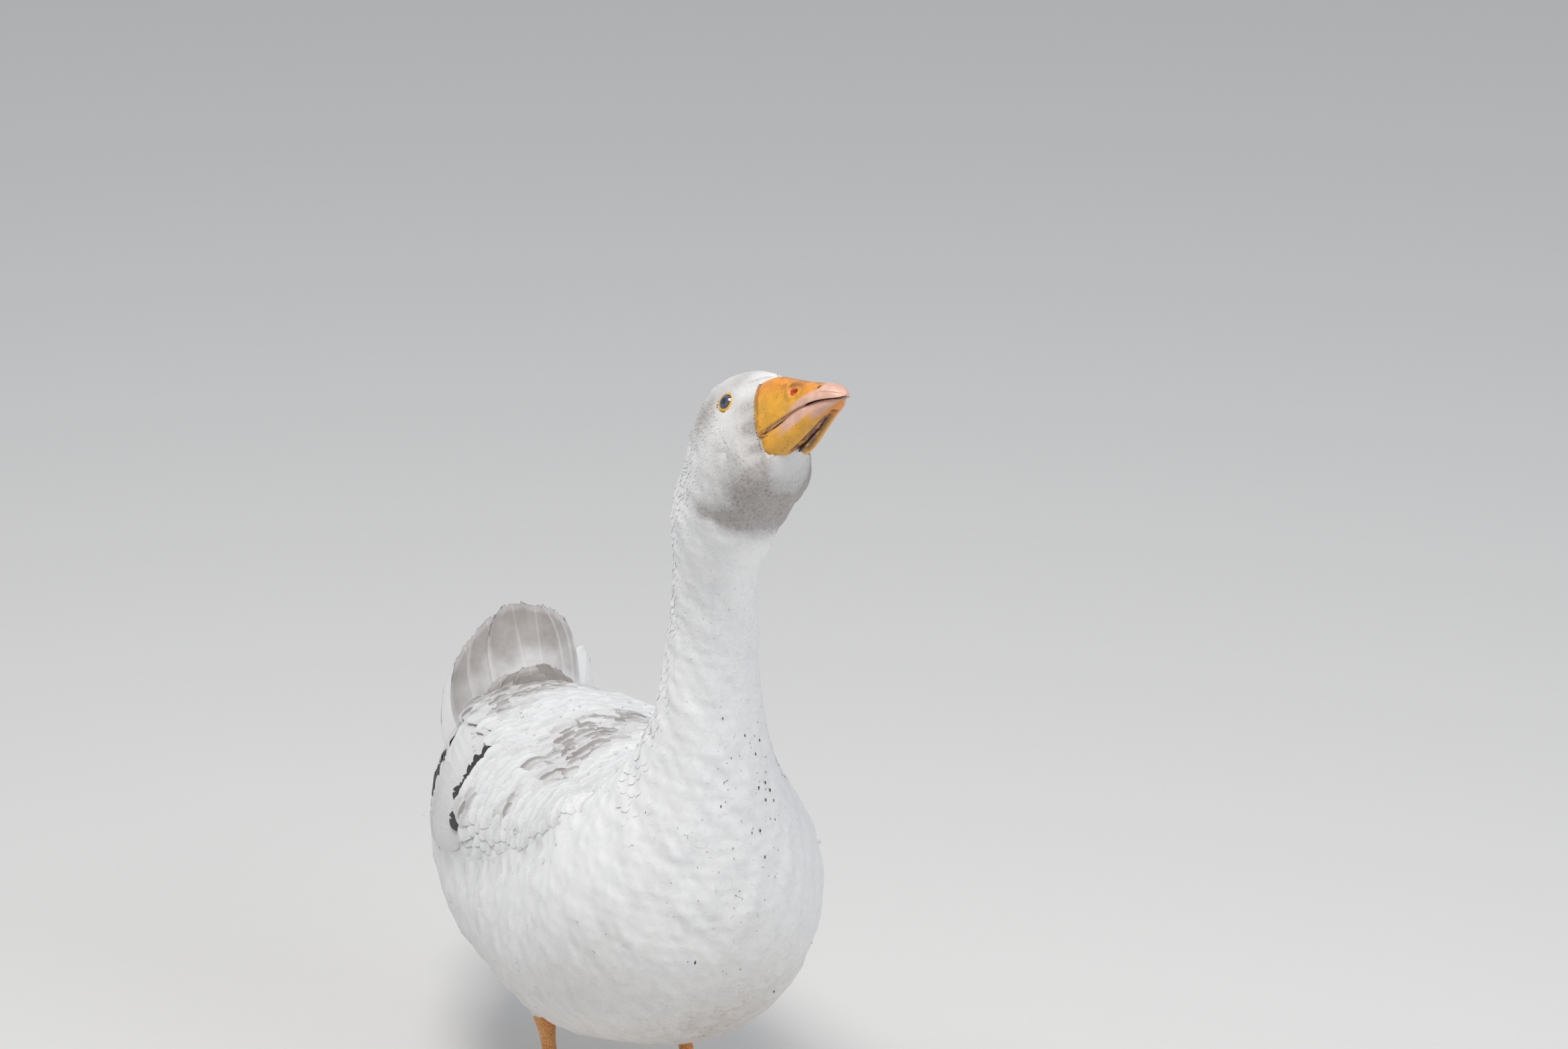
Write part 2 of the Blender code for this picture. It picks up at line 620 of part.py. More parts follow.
def build_legs(trunk, mats):
    """Thighs, shanks, webbed feet, hind toes and claws of both legs."""
    toe_names = ("inner", "middle", "outer")
    for word, side in SIDES:
        tube("thigh_" + word, thigh_rings(side), mats["thigh"])
        let_in(trunk, tube("room_thigh_" + word, thigh_rings(side, 1.3 * GAP), mats["thigh"]))
        tube("shank_" + word, shank_rings(side), mats["leg"])
        upper, lower = foot_grids(side)
        slab("foot_" + word, upper, lower, mats["leg"])
        tube("hallux_" + word, hallux_rings(side), mats["leg"])
        for name, length, angle in zip(toe_names, TOE_LENGTHS, TOE_ANGLES):
            rings = claw_rings(side, math.cos(angle) * length, math.sin(angle) * length, 0.0040,
                               angle, CLAW_LENGTH, 0.0026)
            tube("claw_%s_%s" % (word, name), rings, mats["claw"])
        s = np.linspace(0.0, 1.0, 4)
        rings = bent_rings(side * (FOOT_OUT - 0.0101 - 0.002 * s), FOOT_FORWARD - 0.0299 - 0.0065 * s,
                           0.0049 - 0.0026 * s, 0.0024 * (1 - s) ** 0.8 + 0.0004,
                           0.0022 * (1 - s) ** 0.8 + 0.0004, 6)
        tube("claw_%s_hallux" % word, rings, mats["claw"])


def main():
    for obj in list(bpy.data.objects):
        bpy.data.objects.remove(obj, do_unlink=True)
    white, cream, grey = (0.86, 0.85, 0.82), (0.78, 0.75, 0.70), (0.55, 0.52, 0.50)
    mats = {
        "trunk": material("feathers_body", cream, 0.75),
        "neck_lower": material("feathers_neck_low", white, 0.75),
        "neck_upper": material("feathers_neck_high", white, 0.75),
        "head": material("feathers_head", white, 0.72),
        "wing": material("feathers_wing", (0.80, 0.78, 0.76), 0.7),
        "tail": material("feathers_tail", grey, 0.7),
        "thigh": material("feathers_thigh", cream, 0.78),
        "bill": material("bill_horn", (0.86, 0.48, 0.14), 0.42),
        "eye": material("eye_gloss", (0.10, 0.12, 0.15), 0.08),
        "leg": material("leg_skin", (0.83, 0.38, 0.12), 0.55),
        "claw": material("claw_horn", (0.33, 0.27, 0.22), 0.4),
    }
    bodies = build_body(mats)
    build_wings(bodies["trunk"], mats)
    build_tail(bodies["trunk"], mats)
    build_head_parts(bodies["head"], mats)
    build_legs(bodies["trunk"], mats)


main()
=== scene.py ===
"""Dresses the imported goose: skin, plumage, bill, eyes, legs, light and camera.

Units are metres, +Z is up, the goose faces -Y and its left side is +X. Every surface is
worked out on a grid. The body's form is a loft through named cross-sections, the same
ones that its solids were made from, and the plumage is laid on that form.
"""
import logging
import math
from dataclasses import dataclass, replace
from enum import Enum
from typing import Callable, Optional, Sequence
import bpy  # noqa: E402
import numpy as np  # noqa: E402
from mathutils import Matrix, Vector  # noqa: E402


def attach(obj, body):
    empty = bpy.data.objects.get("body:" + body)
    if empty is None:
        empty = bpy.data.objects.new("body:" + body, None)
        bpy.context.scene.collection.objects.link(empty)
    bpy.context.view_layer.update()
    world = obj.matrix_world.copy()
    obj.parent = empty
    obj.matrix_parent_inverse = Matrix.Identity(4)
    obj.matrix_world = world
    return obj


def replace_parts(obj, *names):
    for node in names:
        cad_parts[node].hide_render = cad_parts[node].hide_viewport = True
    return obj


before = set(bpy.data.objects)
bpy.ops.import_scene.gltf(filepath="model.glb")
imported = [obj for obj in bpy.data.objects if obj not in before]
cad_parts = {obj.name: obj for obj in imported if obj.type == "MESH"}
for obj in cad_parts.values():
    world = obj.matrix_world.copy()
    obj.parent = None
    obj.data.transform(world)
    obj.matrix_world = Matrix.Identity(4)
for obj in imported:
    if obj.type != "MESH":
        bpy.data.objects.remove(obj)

LOG = logging.getLogger("goose")
ROOT_BODY = "root"
CM = 0.01
SIDES = (("left", 1.0), ("right", -1.0))
BAKE_MAP = "OFBake"
BAKE_EDGE, BAKE_SPAN = 0.01, 0.975      # where a surface starts and how far it reaches
TUFT_PATCH = 0.003      # size of one tuft's patch on the bake map
CELL_EDGE = 0.06        # share of a cell or patch that stays free round its feather
Array = np.ndarray
Colour = tuple
Material = bpy.types.Material


# ---- small maths
def ease(t: Array) -> Array:
    """Eases a share from 0 to 1 with a level start and end: 3t^2 - 2t^3."""
    t = np.clip(t, 0, 1)
    return t * t * (3.0 - 2.0 * t)


def ramp(x: Array, start: float, reach: float) -> Array:
    """Eases from 0 at start to 1 a reach further on."""
    return ease((x - start) / reach)


def fall(x: Array, start: float, reach: float) -> Array:
    """Eases from 1 at start to 0 a reach further on."""
    return 1.0 - ramp(x, start, reach)


def bell(x: Array, centre: float, spread: float) -> Array:
    """A bell curve of height 1: exp of minus the squared distance in spreads."""
    return np.exp(-(((x - centre) / spread) ** 2))


def highest(*values: Array) -> Array:
    """The highest of several values, place by place."""
    return np.max(np.stack(np.broadcast_arrays(*values)), axis=0)


def packed(*values: Array) -> Array:
    """Values side by side on a new last axis, stretched to one shape."""
    return np.stack(np.broadcast_arrays(*values), -1)


def unit(vectors: Array) -> Array:
    """Vectors brought to length 1."""
    return vectors / np.maximum(np.linalg.norm(vectors, axis=-1, keepdims=True), 1e-12)


def circle(count: int) -> Array:
    """Even angles once round, from 0 on."""
    return np.linspace(0.0, math.tau, count, endpoint=False)


def through(knots: Array, values: Array, at: Array) -> Array:
    """Smooth curve through rows of values: a cubic between each two knots.

    Args:
        knots: increasing places of the rows.
        values: one row of numbers for each knot.
        at: places to read.

    Returns:
        One row for each place read.
    """
    knots, values = np.asarray(knots, float), np.asarray(values, float)
    flat = values.ndim == 1
    if flat:
        values = values[:, None]
    slopes = np.gradient(values, knots, axis=0)
    i = np.clip(np.searchsorted(knots, at, side="right") - 1, 0, len(knots) - 2)
    span = (knots[i + 1] - knots[i])[:, None]
    s = ((at - knots[i]) / span[:, 0])[:, None]
    out = ((2 * s**3 - 3 * s**2 + 1) * values[i] + (s**3 - 2 * s**2 + s) * span * slopes[i]
           + (3 * s**2 - 2 * s**3) * values[i + 1] + (s**3 - s**2) * span * slopes[i + 1])
    return out[:, 0] if flat else out


def spin(points: Array, axis: Sequence[float], angles: Array) -> Array:
    """Turns points about an axis through the origin.

    Args:
        points: n points.
        axis: direction of the axis.
        angles: n angles, or one for all.

    Returns:
        The n turned points.
    """
    axis = unit(np.asarray(axis, float))
    c, s = (f(np.asarray(angles))[..., None] for f in (np.cos, np.sin))
    return points * c + np.cross(axis, points) * s + axis * (points @ axis)[:, None] * (1 - c)


# ---- how the goose stands
@dataclass(frozen=True)
class Stance:
    """Where the head sits over the floor and how it is turned."""
    centre_forward: float = 0.0045
    eye_forward: float = 0.19
    eye_height: float = 0.636
    pitch: float = math.radians(33.0)
    yaw: float = math.radians(20.0)
    roll: float = math.radians(12.0)
    pivot_back: float = 0.02
    pivot_down: float = 0.045

    def world(self, out: Array, forward: Array, height: Array) -> Array:
        """World points from distances out to its left, forward and up."""
        return packed(out, self.centre_forward - forward, height)

    def profile(self, forward: Array, up: Array) -> tuple:
        """(forward, height) of a point given in centimetres along and across the level head."""
        c, s = math.cos(self.pitch), math.sin(self.pitch)
        return (self.eye_forward + (forward * c - up * s) * CM,
                self.eye_height + (forward * s + up * c) * CM)

    @property
    def pivot(self) -> Array:
        """The point that the head turns about."""
        return self.world(0.0, self.eye_forward - self.pivot_back,
                          self.eye_height - self.pivot_down)

    @property
    def bill_line(self) -> tuple:
        """Direction in which the bill points before the head is turned."""
        return (0.0, -math.cos(self.pitch), math.sin(self.pitch))

    def turned(self, points: Array, share: Array) -> Array:
        """Rolls and turns points about the pivot by a share of the head's full turn."""
        share = np.broadcast_to(share, points.shape[:-1]).reshape(-1)
        flat = spin(points.reshape(-1, 3) - self.pivot, self.bill_line, -self.roll * share)
        flat = spin(flat, (0.0, 0.0, 1.0), self.yaw * share) + self.pivot
        return flat.reshape(points.shape)

    def head_world(self, out: Array, forward: Array, up: Array) -> Array:
        """World points from centimetres out, along and above the middle of the eyes."""
        return self.turned(self.world(np.asarray(out) * CM, *self.profile(forward, up)), 1.0)

    def head_local(self, points: Array) -> Array:
        """Centimetres (out, forward, up) in the head of world points: head_world undone.

        Args:
            points: points in space.

        Returns:
            Points in the head's centimetres.
        """
        flat = spin(points.reshape(-1, 3) - self.pivot, (0.0, 0.0, 1.0), -self.yaw)
        flat = spin(flat, self.bill_line, self.roll) + self.pivot
        df = self.centre_forward - flat[:, 1] - self.eye_forward
        dz = flat[:, 2] - self.eye_height
        c, s = math.cos(self.pitch), math.sin(self.pitch)
        return packed(flat[:, 0], df * c + dz * s, dz * c - df * s).reshape(points.shape) / CM


STANCE = Stance()


# ---- head: eyes and bill shapes
@dataclass(frozen=True)
class EyeShape:
    """An eye in the head's centimetres, given for its left side: (out, forward, up)."""
    centre: tuple = (1.7, 0.0, 0.13)
    radius: float = 0.86
    axis: tuple = (1.0, 0.22, 0.36)
    half_wide: float = 0.6
    half_tall: float = 0.61
    lid: float = 0.105          # half thickness of the lid's rim

    def frame(self) -> Array:
        """Rows: across the eye (forward), up it, and out along its axis."""
        out = unit(np.array(self.axis))
        across = unit(np.cross((0.0, 0.0, 1.0), out))
        return np.stack([across, np.cross(out, across), out])

    def rim_height(self, x: Array, y: Array) -> tuple:
        """Oval distance (1 at the rim) and the rim's place along the axis, towards (x, y)."""
        oval = np.hypot(x / self.half_wide, y / self.half_tall)
        reach = np.hypot(x, y) / np.maximum(oval, 1e-6)
        return oval, np.sqrt(np.maximum(self.radius**2 - reach**2, 0.01))

    def seen(self, local: Array) -> tuple:
        """Points in the axes of the eye on their side, and the flip that brought them there."""
        side = np.where(local[..., 0:1] < 0.0, -1.0, 1.0)
        flip = np.concatenate([side, np.ones_like(side), np.ones_like(side)], -1)
        return (local * flip - self.centre) @ self.frame().T, flip

    def oval_of(self, local: Array) -> Array:
        """Oval distance from the nearer eye of points in the head's centimetres."""
        x, y, z = np.moveaxis(self.seen(local)[0], -1, 0)
        return np.where(z > 0.0, self.rim_height(x, y)[0], 9.0)

    def socket(self, local: Array) -> Array:
        """Draws the head's surface in to the lids' rim, and into a cup under the eyeball.

        Outside the rim the surface eases from the rim's height to its own; inside it
        falls away below the eyeball.

        Args:
            local: points in the head's centimetres.

        Returns:
            The moved points.
        """
        q, flip = self.seen(local)
        oval, rim = self.rim_height(q[..., 0], q[..., 1])
        hold = fall(oval, 1.05, 0.95) * (q[..., 2] > 0.0)
        goal = rim - 0.02 - 0.4 * ease((1.0 - oval) / 0.6)
        q[..., 2] += (goal - q[..., 2]) * hold
        return (q @ self.frame() + self.centre) * flip


@dataclass(frozen=True)
class BillShape:
    """Both halves of the bill in the head's centimetres, as rows at places forward.

    An upper row is forward, top, cutting edge and half width; a lower row is forward,
    top, bottom and half width.
    """
    upper: tuple = ((2.35, 1.1, -2.78, 1.9), (3.6, 0.88, -2.58, 1.78),
                    (5.0, 0.24, -2.36, 1.52), (6.6, -0.52, -2.22, 1.3),
                    (8.0, -1.12, -2.28, 1.14), (9.1, -1.62, -2.5, 0.84),
                    (9.75, -2.12, -2.66, 0.34))
    lower: tuple = ((2.6, -2.98, -4.8, 1.88), (4.2, -2.79, -4.54, 1.66),
                    (5.8, -2.4, -4.02, 1.37), (7.4, -2.3, -3.42, 1.09),
                    (8.7, -2.46, -3.04, 0.74), (9.25, -2.58, -2.84, 0.36))
    arch: float = 0.85      # below 1 the upper half's section is fuller than a half circle
    keel: float = 0.5
    feather_line: float = 2.42

    @staticmethod
    def rows(table: tuple, forward: Array) -> Array:
        """Top, edge and half width at places forward, held at the table's ends."""
        table = np.array(table)
        f = np.clip(np.asarray(forward, float).ravel(), table[0, 0], table[-1, 0])
        return through(table[:, 0], table[:, 1:], f).T

    def half_at(self, forward: Array, up: Array) -> Array:
        """Half width of the bill at a place forward and a height.

        Args:
            forward: places forward in the head's centimetres.
            up: heights in the head's centimetres.

        Returns:
            Half widths in centimetres.
        """
        shape = np.shape(forward)
        up = np.asarray(up, float).ravel()
        top, edge, half = self.rows(self.upper, forward)
        rise = np.clip((up - edge) / (top - edge), 0, 1)
        above = half * np.sqrt(1.0 - rise ** (2.0 / self.arch))
        low_top, bottom, low_half = self.rows(self.lower, forward)
        sink = np.clip((low_top - up) / (low_top - bottom), 0, 1)
        below = low_half * np.sqrt(1.0 - sink ** (2.0 / self.keel))
        return np.where(up > edge, above, np.where(up > low_top, half, below)).reshape(shape)

    def settle(self, local: Array) -> Array:
        """Draws the cheeks in to the bill, so that their plumage ends flush with it.

        Towards the feather line, a point's distance outside the bill's side shrinks to
        a small step. The wedge of plumage on top of the bill's root stays as it is.

        Args:
            local: points in the head's centimetres.

        Returns:
            The moved points.
        """
        out, forward, up = np.moveaxis(local, -1, 0)
        share = ramp(forward, 1.1, 1.25) * fall(up, 0.55, 0.8) * ramp(up, -6.6, 2.6)
        side = self.half_at(np.maximum(forward, self.feather_line), np.maximum(up, -3.5))
        spare = np.abs(out) - side - 0.05 + 0.25 * ramp(forward, self.feather_line, 0.25)
        inward = share * np.maximum(spare, 0.0) * (np.abs(out) > 0.5 * side)
        return packed(out - np.sign(out) * inward, forward, up)

    def feathered(self, local: Array) -> Array:
        """Where plumage may root: behind the bill, on the wedge over it and on the chin.

        Args:
            local: points in the head's centimetres.

        Returns:
            True where it may.
        """
        out, forward, up = np.moveaxis(local, -1, 0)
        cheek = forward < self.feather_line - 0.1 * np.abs(out)
        wedge = (up > 0.8) & (forward < 3.6 - 0.8 * np.abs(out) ** 1.5)
        rim = -4.55 + 0.26 * (forward - 2.6)
        chin = (up < np.where(np.abs(out) < 0.9, -3.95, rim)) & (forward < 4.5)
        return cheek | wedge | chin | (up < -3.85) & (forward < 2.5)


EYE = EyeShape()
BILL = BillShape()


def shaped_head(points: Array) -> Array:
    """World points of the head's surface with the eye sockets and the bill's seat worked in."""
    local = BILL.settle(EYE.socket(STANCE.head_local(points)))
    return STANCE.head_world(*np.moveaxis(local, -1, 0))


# ---- the body's form
# Cross-sections from tail to bill: name, top and bottom in the middle plane, half width,
# where it is widest, how full it is below, share of the head's turn, and the plumage there:
# feather length and width, and the depth of the coat over the skin.
BODY_STATIONS = (
    ("rump_end", (-0.245, 0.27), (-0.258, 0.25), 0.03, 0.5, 1.0, 0.0, 0.03, 0.019, 0.005),
    ("rump", (-0.212, 0.284), (-0.255, 0.207), 0.057, 0.5, 0.9, 0.0, 0.032, 0.02, 0.0055),
    ("vent", (-0.165, 0.296), (-0.222, 0.154), 0.085, 0.55, 0.76, 0.0, 0.034, 0.021, 0.006),
    ("hind", (-0.105, 0.305), (-0.158, 0.118), 0.104, 0.58, 0.64, 0.0, 0.034, 0.022, 0.006),
    ("middle", (-0.035, 0.313), (-0.05, 0.108), 0.112, 0.58, 0.58, 0.0, 0.032, 0.021, 0.006),
    ("fore", (0.022, 0.322), (0.06, 0.116), 0.113, 0.54, 0.64, 0.0, 0.028, 0.0185, 0.0055),
    ("breast", (0.06, 0.336), (0.134, 0.144), 0.106, 0.46, 1.05, 0.0, 0.021, 0.014, 0.0046),
    ("chest", (0.084, 0.355), (0.173, 0.19), 0.087, 0.46, 1.1, 0.0, 0.0155, 0.0105, 0.0038),
    ("neck_root", (0.098, 0.382), (0.184, 0.246), 0.064, 0.5, 1.05, 0.0, 0.0115, 0.0078, 0.0031),
    ("neck_base", (0.107, 0.41), (0.181, 0.305), 0.0475, 0.52, 1.0, 0.0, 0.0092, 0.006, 0.0026),
    ("neck_low", (0.112, 0.442), (0.177, 0.369), 0.0365, 0.52, 1.0, 0.0, 0.0078, 0.0048, 0.0023),
    ("neck_mid", (0.12, 0.489), (0.176, 0.444), 0.03, 0.5, 1.0, 0.0, 0.0066, 0.0038, 0.002),
    ("neck_up", (0.128, 0.536), (0.188, 0.505), 0.03, 0.5, 1.0, 0.25, 0.0058, 0.0033, 0.0018),
    ("neck_top", (0.138, 0.571), (0.214, 0.545), 0.034, 0.5, 0.95, 0.6, 0.005, 0.0029, 0.0016),
)
# The same for the head, with top and bottom in its own centimetres.
HEAD_STATIONS = (
    ("nape", (-5.1, -0.4), (-0.5, -7.3), 0.0378, 0.57, 0.85, 0.9, 0.0042, 0.0025, 0.0013),
    ("occiput", (-4.0, 1.1), (0.8, -6.8), 0.0378, 0.6, 0.8, 1.0, 0.0037, 0.0022, 0.0011),
    ("skull", (-1.6, 2.4), (2.1, -6.0), 0.0325, 0.62, 0.8, 1.0, 0.003, 0.0018, 0.0009),
    ("brow", (0.9, 2.2), (3.0, -5.1), 0.0232, 0.6, 0.82, 1.0, 0.0024, 0.0014, 0.0007),
    ("face", (2.6, 1.5), (3.9, -4.3), 0.015, 0.56, 0.85, 1.0, 0.0019, 0.0012, 0.0006),
    ("front", (3.6, 0.9), (4.7, -3.9), 0.0115, 0.55, 0.9, 1.0, 0.0017, 0.0011, 0.0005),
)
STATIONS = BODY_STATIONS + tuple((name, STANCE.profile(*top), STANCE.profile(*bottom), *rest)
                                 for name, top, bottom, *rest in HEAD_STATIONS)
# The folded wing's lie: share along it, cross-section of the body, share of the way on to
# the next one, and the degrees round the body of its upper and lower edge.
WING_LINES = ((0.0, "breast", 0.5, 44.0, 50.0), (0.09, "breast", 0.0, 37.0, 56.0),
              (0.27, "fore", 0.0, 30.0, 62.0), (0.48, "middle", 0.0, 27.0, 74.0),
              (0.7, "hind", 0.0, 27.0, 86.0), (0.88, "vent", 0.0, 34.0, 80.0),
              (1.0, "rump", 0.3, 52.0, 62.0))


class Surface:
    """A tube on a dense grid, read by place along it (0 to 1) and round it (0 to 1).

    Around runs from the top down the left side, under the body and back up. The grid
    keeps points, slopes and outward normals, and is read by straight mixing between
    the four nearest nodes.
    """

    def __init__(self, grid: Array, along: Array) -> None:
        """Takes a grid of rings and the place of each ring.

        Args:
            grid: rings of points along the tube.
            along: place of each ring, 0 to 1.
        """
        self.grid, self.along = grid, along
        self.count, self.sides = grid.shape[:2]
        self.slope_along = np.gradient(grid, along, axis=0)
        self.slope_round = (np.roll(grid, -1, 1) - np.roll(grid, 1, 1)) * (self.sides / 2.0)
        self.normal = unit(np.cross(self.slope_along, self.slope_round))
        self.speed = np.linalg.norm(self.slope_along, axis=-1)
        self.girth = np.linalg.norm(self.slope_round, axis=-1).mean(1)

    def read(self, table: Array, along: Array, around: Array) -> Array:
        """Mixes a table of the grid's nodes at places on the surface.

        Places before the first ring are read on a straight line through the first two.

        Args:
            table: values on the grid's nodes.
            along: places along the tube.
            around: places round it, of which only the fraction counts.

        Returns:
            The mixed values.
        """
        i = np.interp(along, self.along, np.arange(self.count))
        i = i + np.minimum(along - self.along[0], 0.0) / (self.along[1] - self.along[0])
        i0 = np.clip(np.floor(i).astype(int), 0, self.count - 2)
        j = (around % 1.0) * self.sides
        j0 = np.minimum(j.astype(int), self.sides - 1)
        j1 = (j0 + 1) % self.sides
        fi, fj = (i - i0)[..., None], (j - j0)[..., None]
        return ((table[i0, j0] * (1 - fj) + table[i0, j1] * fj) * (1 - fi)
                + (table[i0 + 1, j0] * (1 - fj) + table[i0 + 1, j1] * fj) * fi)

    def points(self, along: Array, around: Array, raised: Array) -> Array:
        """World points on the surface, moved out along its normal by raised."""
        along, around, raised = np.broadcast_arrays(along, around, raised)
        return (self.read(self.grid, along, around)
                + self.read(self.normal, along, around) * raised[..., None])


class BodyForm(Surface):
    """Trunk, folded wings, neck and head as one form, out to the tips of the coat."""

    SIDES_ROUND = 512
    BODY_STEP = 0.0022
    HEAD_STEP = 0.0006
    WING_BULGE = 0.0075
    WING_RIM = 0.0024

    def __init__(self, stations: Sequence[tuple]) -> None:
        """Works the form out from its named cross-sections.

        Args:
            stations: the cross-sections, from tail to bill.
        """
        self.rows = np.array([[*top, *bottom, *rest] for _, top, bottom, *rest in stations])
        middle = (self.rows[:, 0:2] + self.rows[:, 2:4]) / 2.0
        steps = np.linalg.norm(np.diff(middle, axis=0), axis=1)
        self.length = steps.sum()
        self.knots = np.r_[0.0, np.cumsum(steps)] / self.length
        self.place = {row[0]: k for row, k in zip(stations, self.knots)}
        head = self.place["nape"]
        body, front = int(head * self.length / self.BODY_STEP), int(
            (1.0 - head) * self.length / self.HEAD_STEP)
        along = np.r_[np.linspace(0.0, head, body, endpoint=False), np.linspace(head, 1.0, front)]
        self.wing = self.wing_table()
        angle = np.linspace(0.0, math.tau, 4 * self.SIDES_ROUND + 1)
        arc = np.linalg.norm(np.diff(self.loft(along[:, None], angle), axis=1), axis=-1)
        arc = np.concatenate([np.zeros((len(along), 1)), np.cumsum(arc, 1)], 1)
        self.even = np.arange(self.SIDES_ROUND) / self.SIDES_ROUND
        self.angle = np.stack([np.interp(self.even, row, angle) for row in arc / arc[:, -1:]])
        grid = self.loft(along[:, None], self.angle, self.wing_rise(along[:, None], self.angle))
        face = along > self.place["occiput"]
        grid[face] = shaped_head(grid[face])
        super().__init__(grid, along)

    def loft(self, along: Array, angle: Array, raised: Array = 0.0) -> Array:
        """Points from place along and angle round: an oval whose lower half may be squarer.

        Args:
            along: places along the loft.
            angle: angles round it from the top.
            raised: distance out from the middle of the cross-section.

        Returns:
            World points.
        """
        along, angle, raised = np.broadcast_arrays(along, angle, raised)
        a, t, r = along.ravel(), angle.ravel(), raised.ravel()
        rows = through(self.knots, self.rows, a)
        top, bottom, half = rows[:, 0:2], rows[:, 2:4], rows[:, 4]
        centre = top + (bottom - top) * rows[:, 5:6]
        c, s = np.cos(t), np.sin(t)
        arm = np.where(c[:, None] > 0, top - centre, centre - bottom)
        flat = centre + arm * (c * (1.0 + r / np.linalg.norm(arm, axis=1)))[:, None]
        out = (half + r) * np.sign(s) * np.abs(s) ** np.where(c < 0.0, rows[:, 6], 1.0)
        place = STANCE.world(out, flat[:, 0], flat[:, 1])
        return STANCE.turned(place, ease(rows[:, 7])).reshape(*along.shape, 3)

    def wing_table(self) -> Array:
        """Rows of share, place along the body, upper and lower edge angle of the wing.

        Returns:
            The rows.
        """
        names, rows = list(self.place), []
        for share, name, beyond, upper, lower in WING_LINES:
            here, on = self.place[name], self.place[names[names.index(name) + 1]]
            rows.append((share, here + (on - here) * beyond, *np.radians((upper, lower))))
        return np.array(rows)

    def wing_place(self, along: Array, angle: Array) -> tuple:
        """Share along the folded wing and share across it of places on the body."""
        table = self.wing[::-1]
        share, upper, lower = (np.interp(along, table[:, 1], table[:, k]) for k in (0, 2, 3))
        folded = np.minimum(angle, math.tau - angle)
        return share, (folded - upper) / (lower - upper)

    def wing_rise(self, along: Array, angle: Array) -> Array:
        """How far the folded wing lifts the body's surface: an arch across, eased at its ends.

        Args:
            along: places along the body.
            angle: angles round it from the top.

        Returns:
            The lift in metres.
        """
        along, angle = np.broadcast_arrays(along, angle)
        share, across = self.wing_place(along, angle)
        arch = np.sin(math.pi * np.clip(across, 0, 1)) ** 0.7
        ends = np.clip(np.minimum(share / 0.12, (1.0 - share) / 0.3), 0, 1) ** 0.6
        soft = ramp(across, -0.1, 0.2) * ease((1.1 - across) / 0.2)
        reach = ease((self.wing[0, 1] - along) / 0.02) * ramp(along, self.wing[-1, 1], 0.02)
        return (self.WING_RIM * soft + self.WING_BULGE * arch * ends) * reach

    def around_of(self, along: Array, degrees: Array) -> Array:
        """Place round the body of an angle from the top in degrees, left side positive."""
        target = np.radians(degrees) % math.tau
        i = np.clip(np.searchsorted(self.along, along), 0, self.count - 1)
        return np.array([np.interp(t, self.angle[k], self.even) for t, k in zip(target, i)])

    def degrees_of(self, along: Array, around: Array) -> Array:
        """Angle round the body from the top in degrees, its left side positive."""
        i = np.clip(np.searchsorted(self.along, along), 0, self.count - 1)
        j = ((around % 1.0) * self.sides).astype(int) % self.sides
        turn = np.degrees(self.angle[i, j])
        return np.where(turn > 180.0, turn - 360.0, turn)

    def plumage(self, along: Array) -> tuple:
        """Feather length, width and coat depth at places along the body."""
        return tuple(through(self.knots, self.rows[:, 8:11], along).T)

    def pile(self, along: Array) -> Array:
        """Share of the extra height of the back's coat: all at the rear, none in front."""
        return fall(along, self.place["hind"], 0.26)


FORM = BodyForm(STATIONS)


# ---- materials
def operator(operation: str, reflected: bool = False) -> Callable:
    """An operator of Wire that adds a Math node, with the wire second if reflected."""
    def act(self: "Wire", other: object) -> "Wire":
        """Adds the node."""
        return self.maths(operation, *((other, self) if reflected else (self, other)))
    return act


class Wire:
    """A value travelling through a material: a socket that takes part in arithmetic."""

    def __init__(self, bench: "Bench", socket: bpy.types.NodeSocket) -> None:
        """Keeps the socket and the bench that adds nodes to its material."""
        self.bench, self.socket = bench, socket

    def maths(self, operation: str, *values: object) -> "Wire":
        """Adds one Math node."""
        return self.bench.add("ShaderNodeMath", {"operation": operation},
                              dict(enumerate(values)))

    __add__, __radd__ = operator("ADD"), operator("ADD", True)
    __sub__, __rsub__ = operator("SUBTRACT"), operator("SUBTRACT", True)
    __mul__, __rmul__ = operator("MULTIPLY"), operator("MULTIPLY", True)
    most = operator("MAXIMUM")

    def wave(self) -> "Wire":
        """Sine."""
        return self.maths("SINE", self)

    def size(self) -> "Wire":
        """Absolute value."""
        return self.maths("ABSOLUTE", self)

    def within(self, low: float, high: float) -> "Wire":
        """Eases from 0 at low to 1 at high."""
        return self.bench.add("ShaderNodeMapRange", {"interpolation_type": "SMOOTHSTEP"},
                              {"Value": self, "From Min": low, "From Max": high,
                               "To Min": 0.0, "To Max": 1.0})


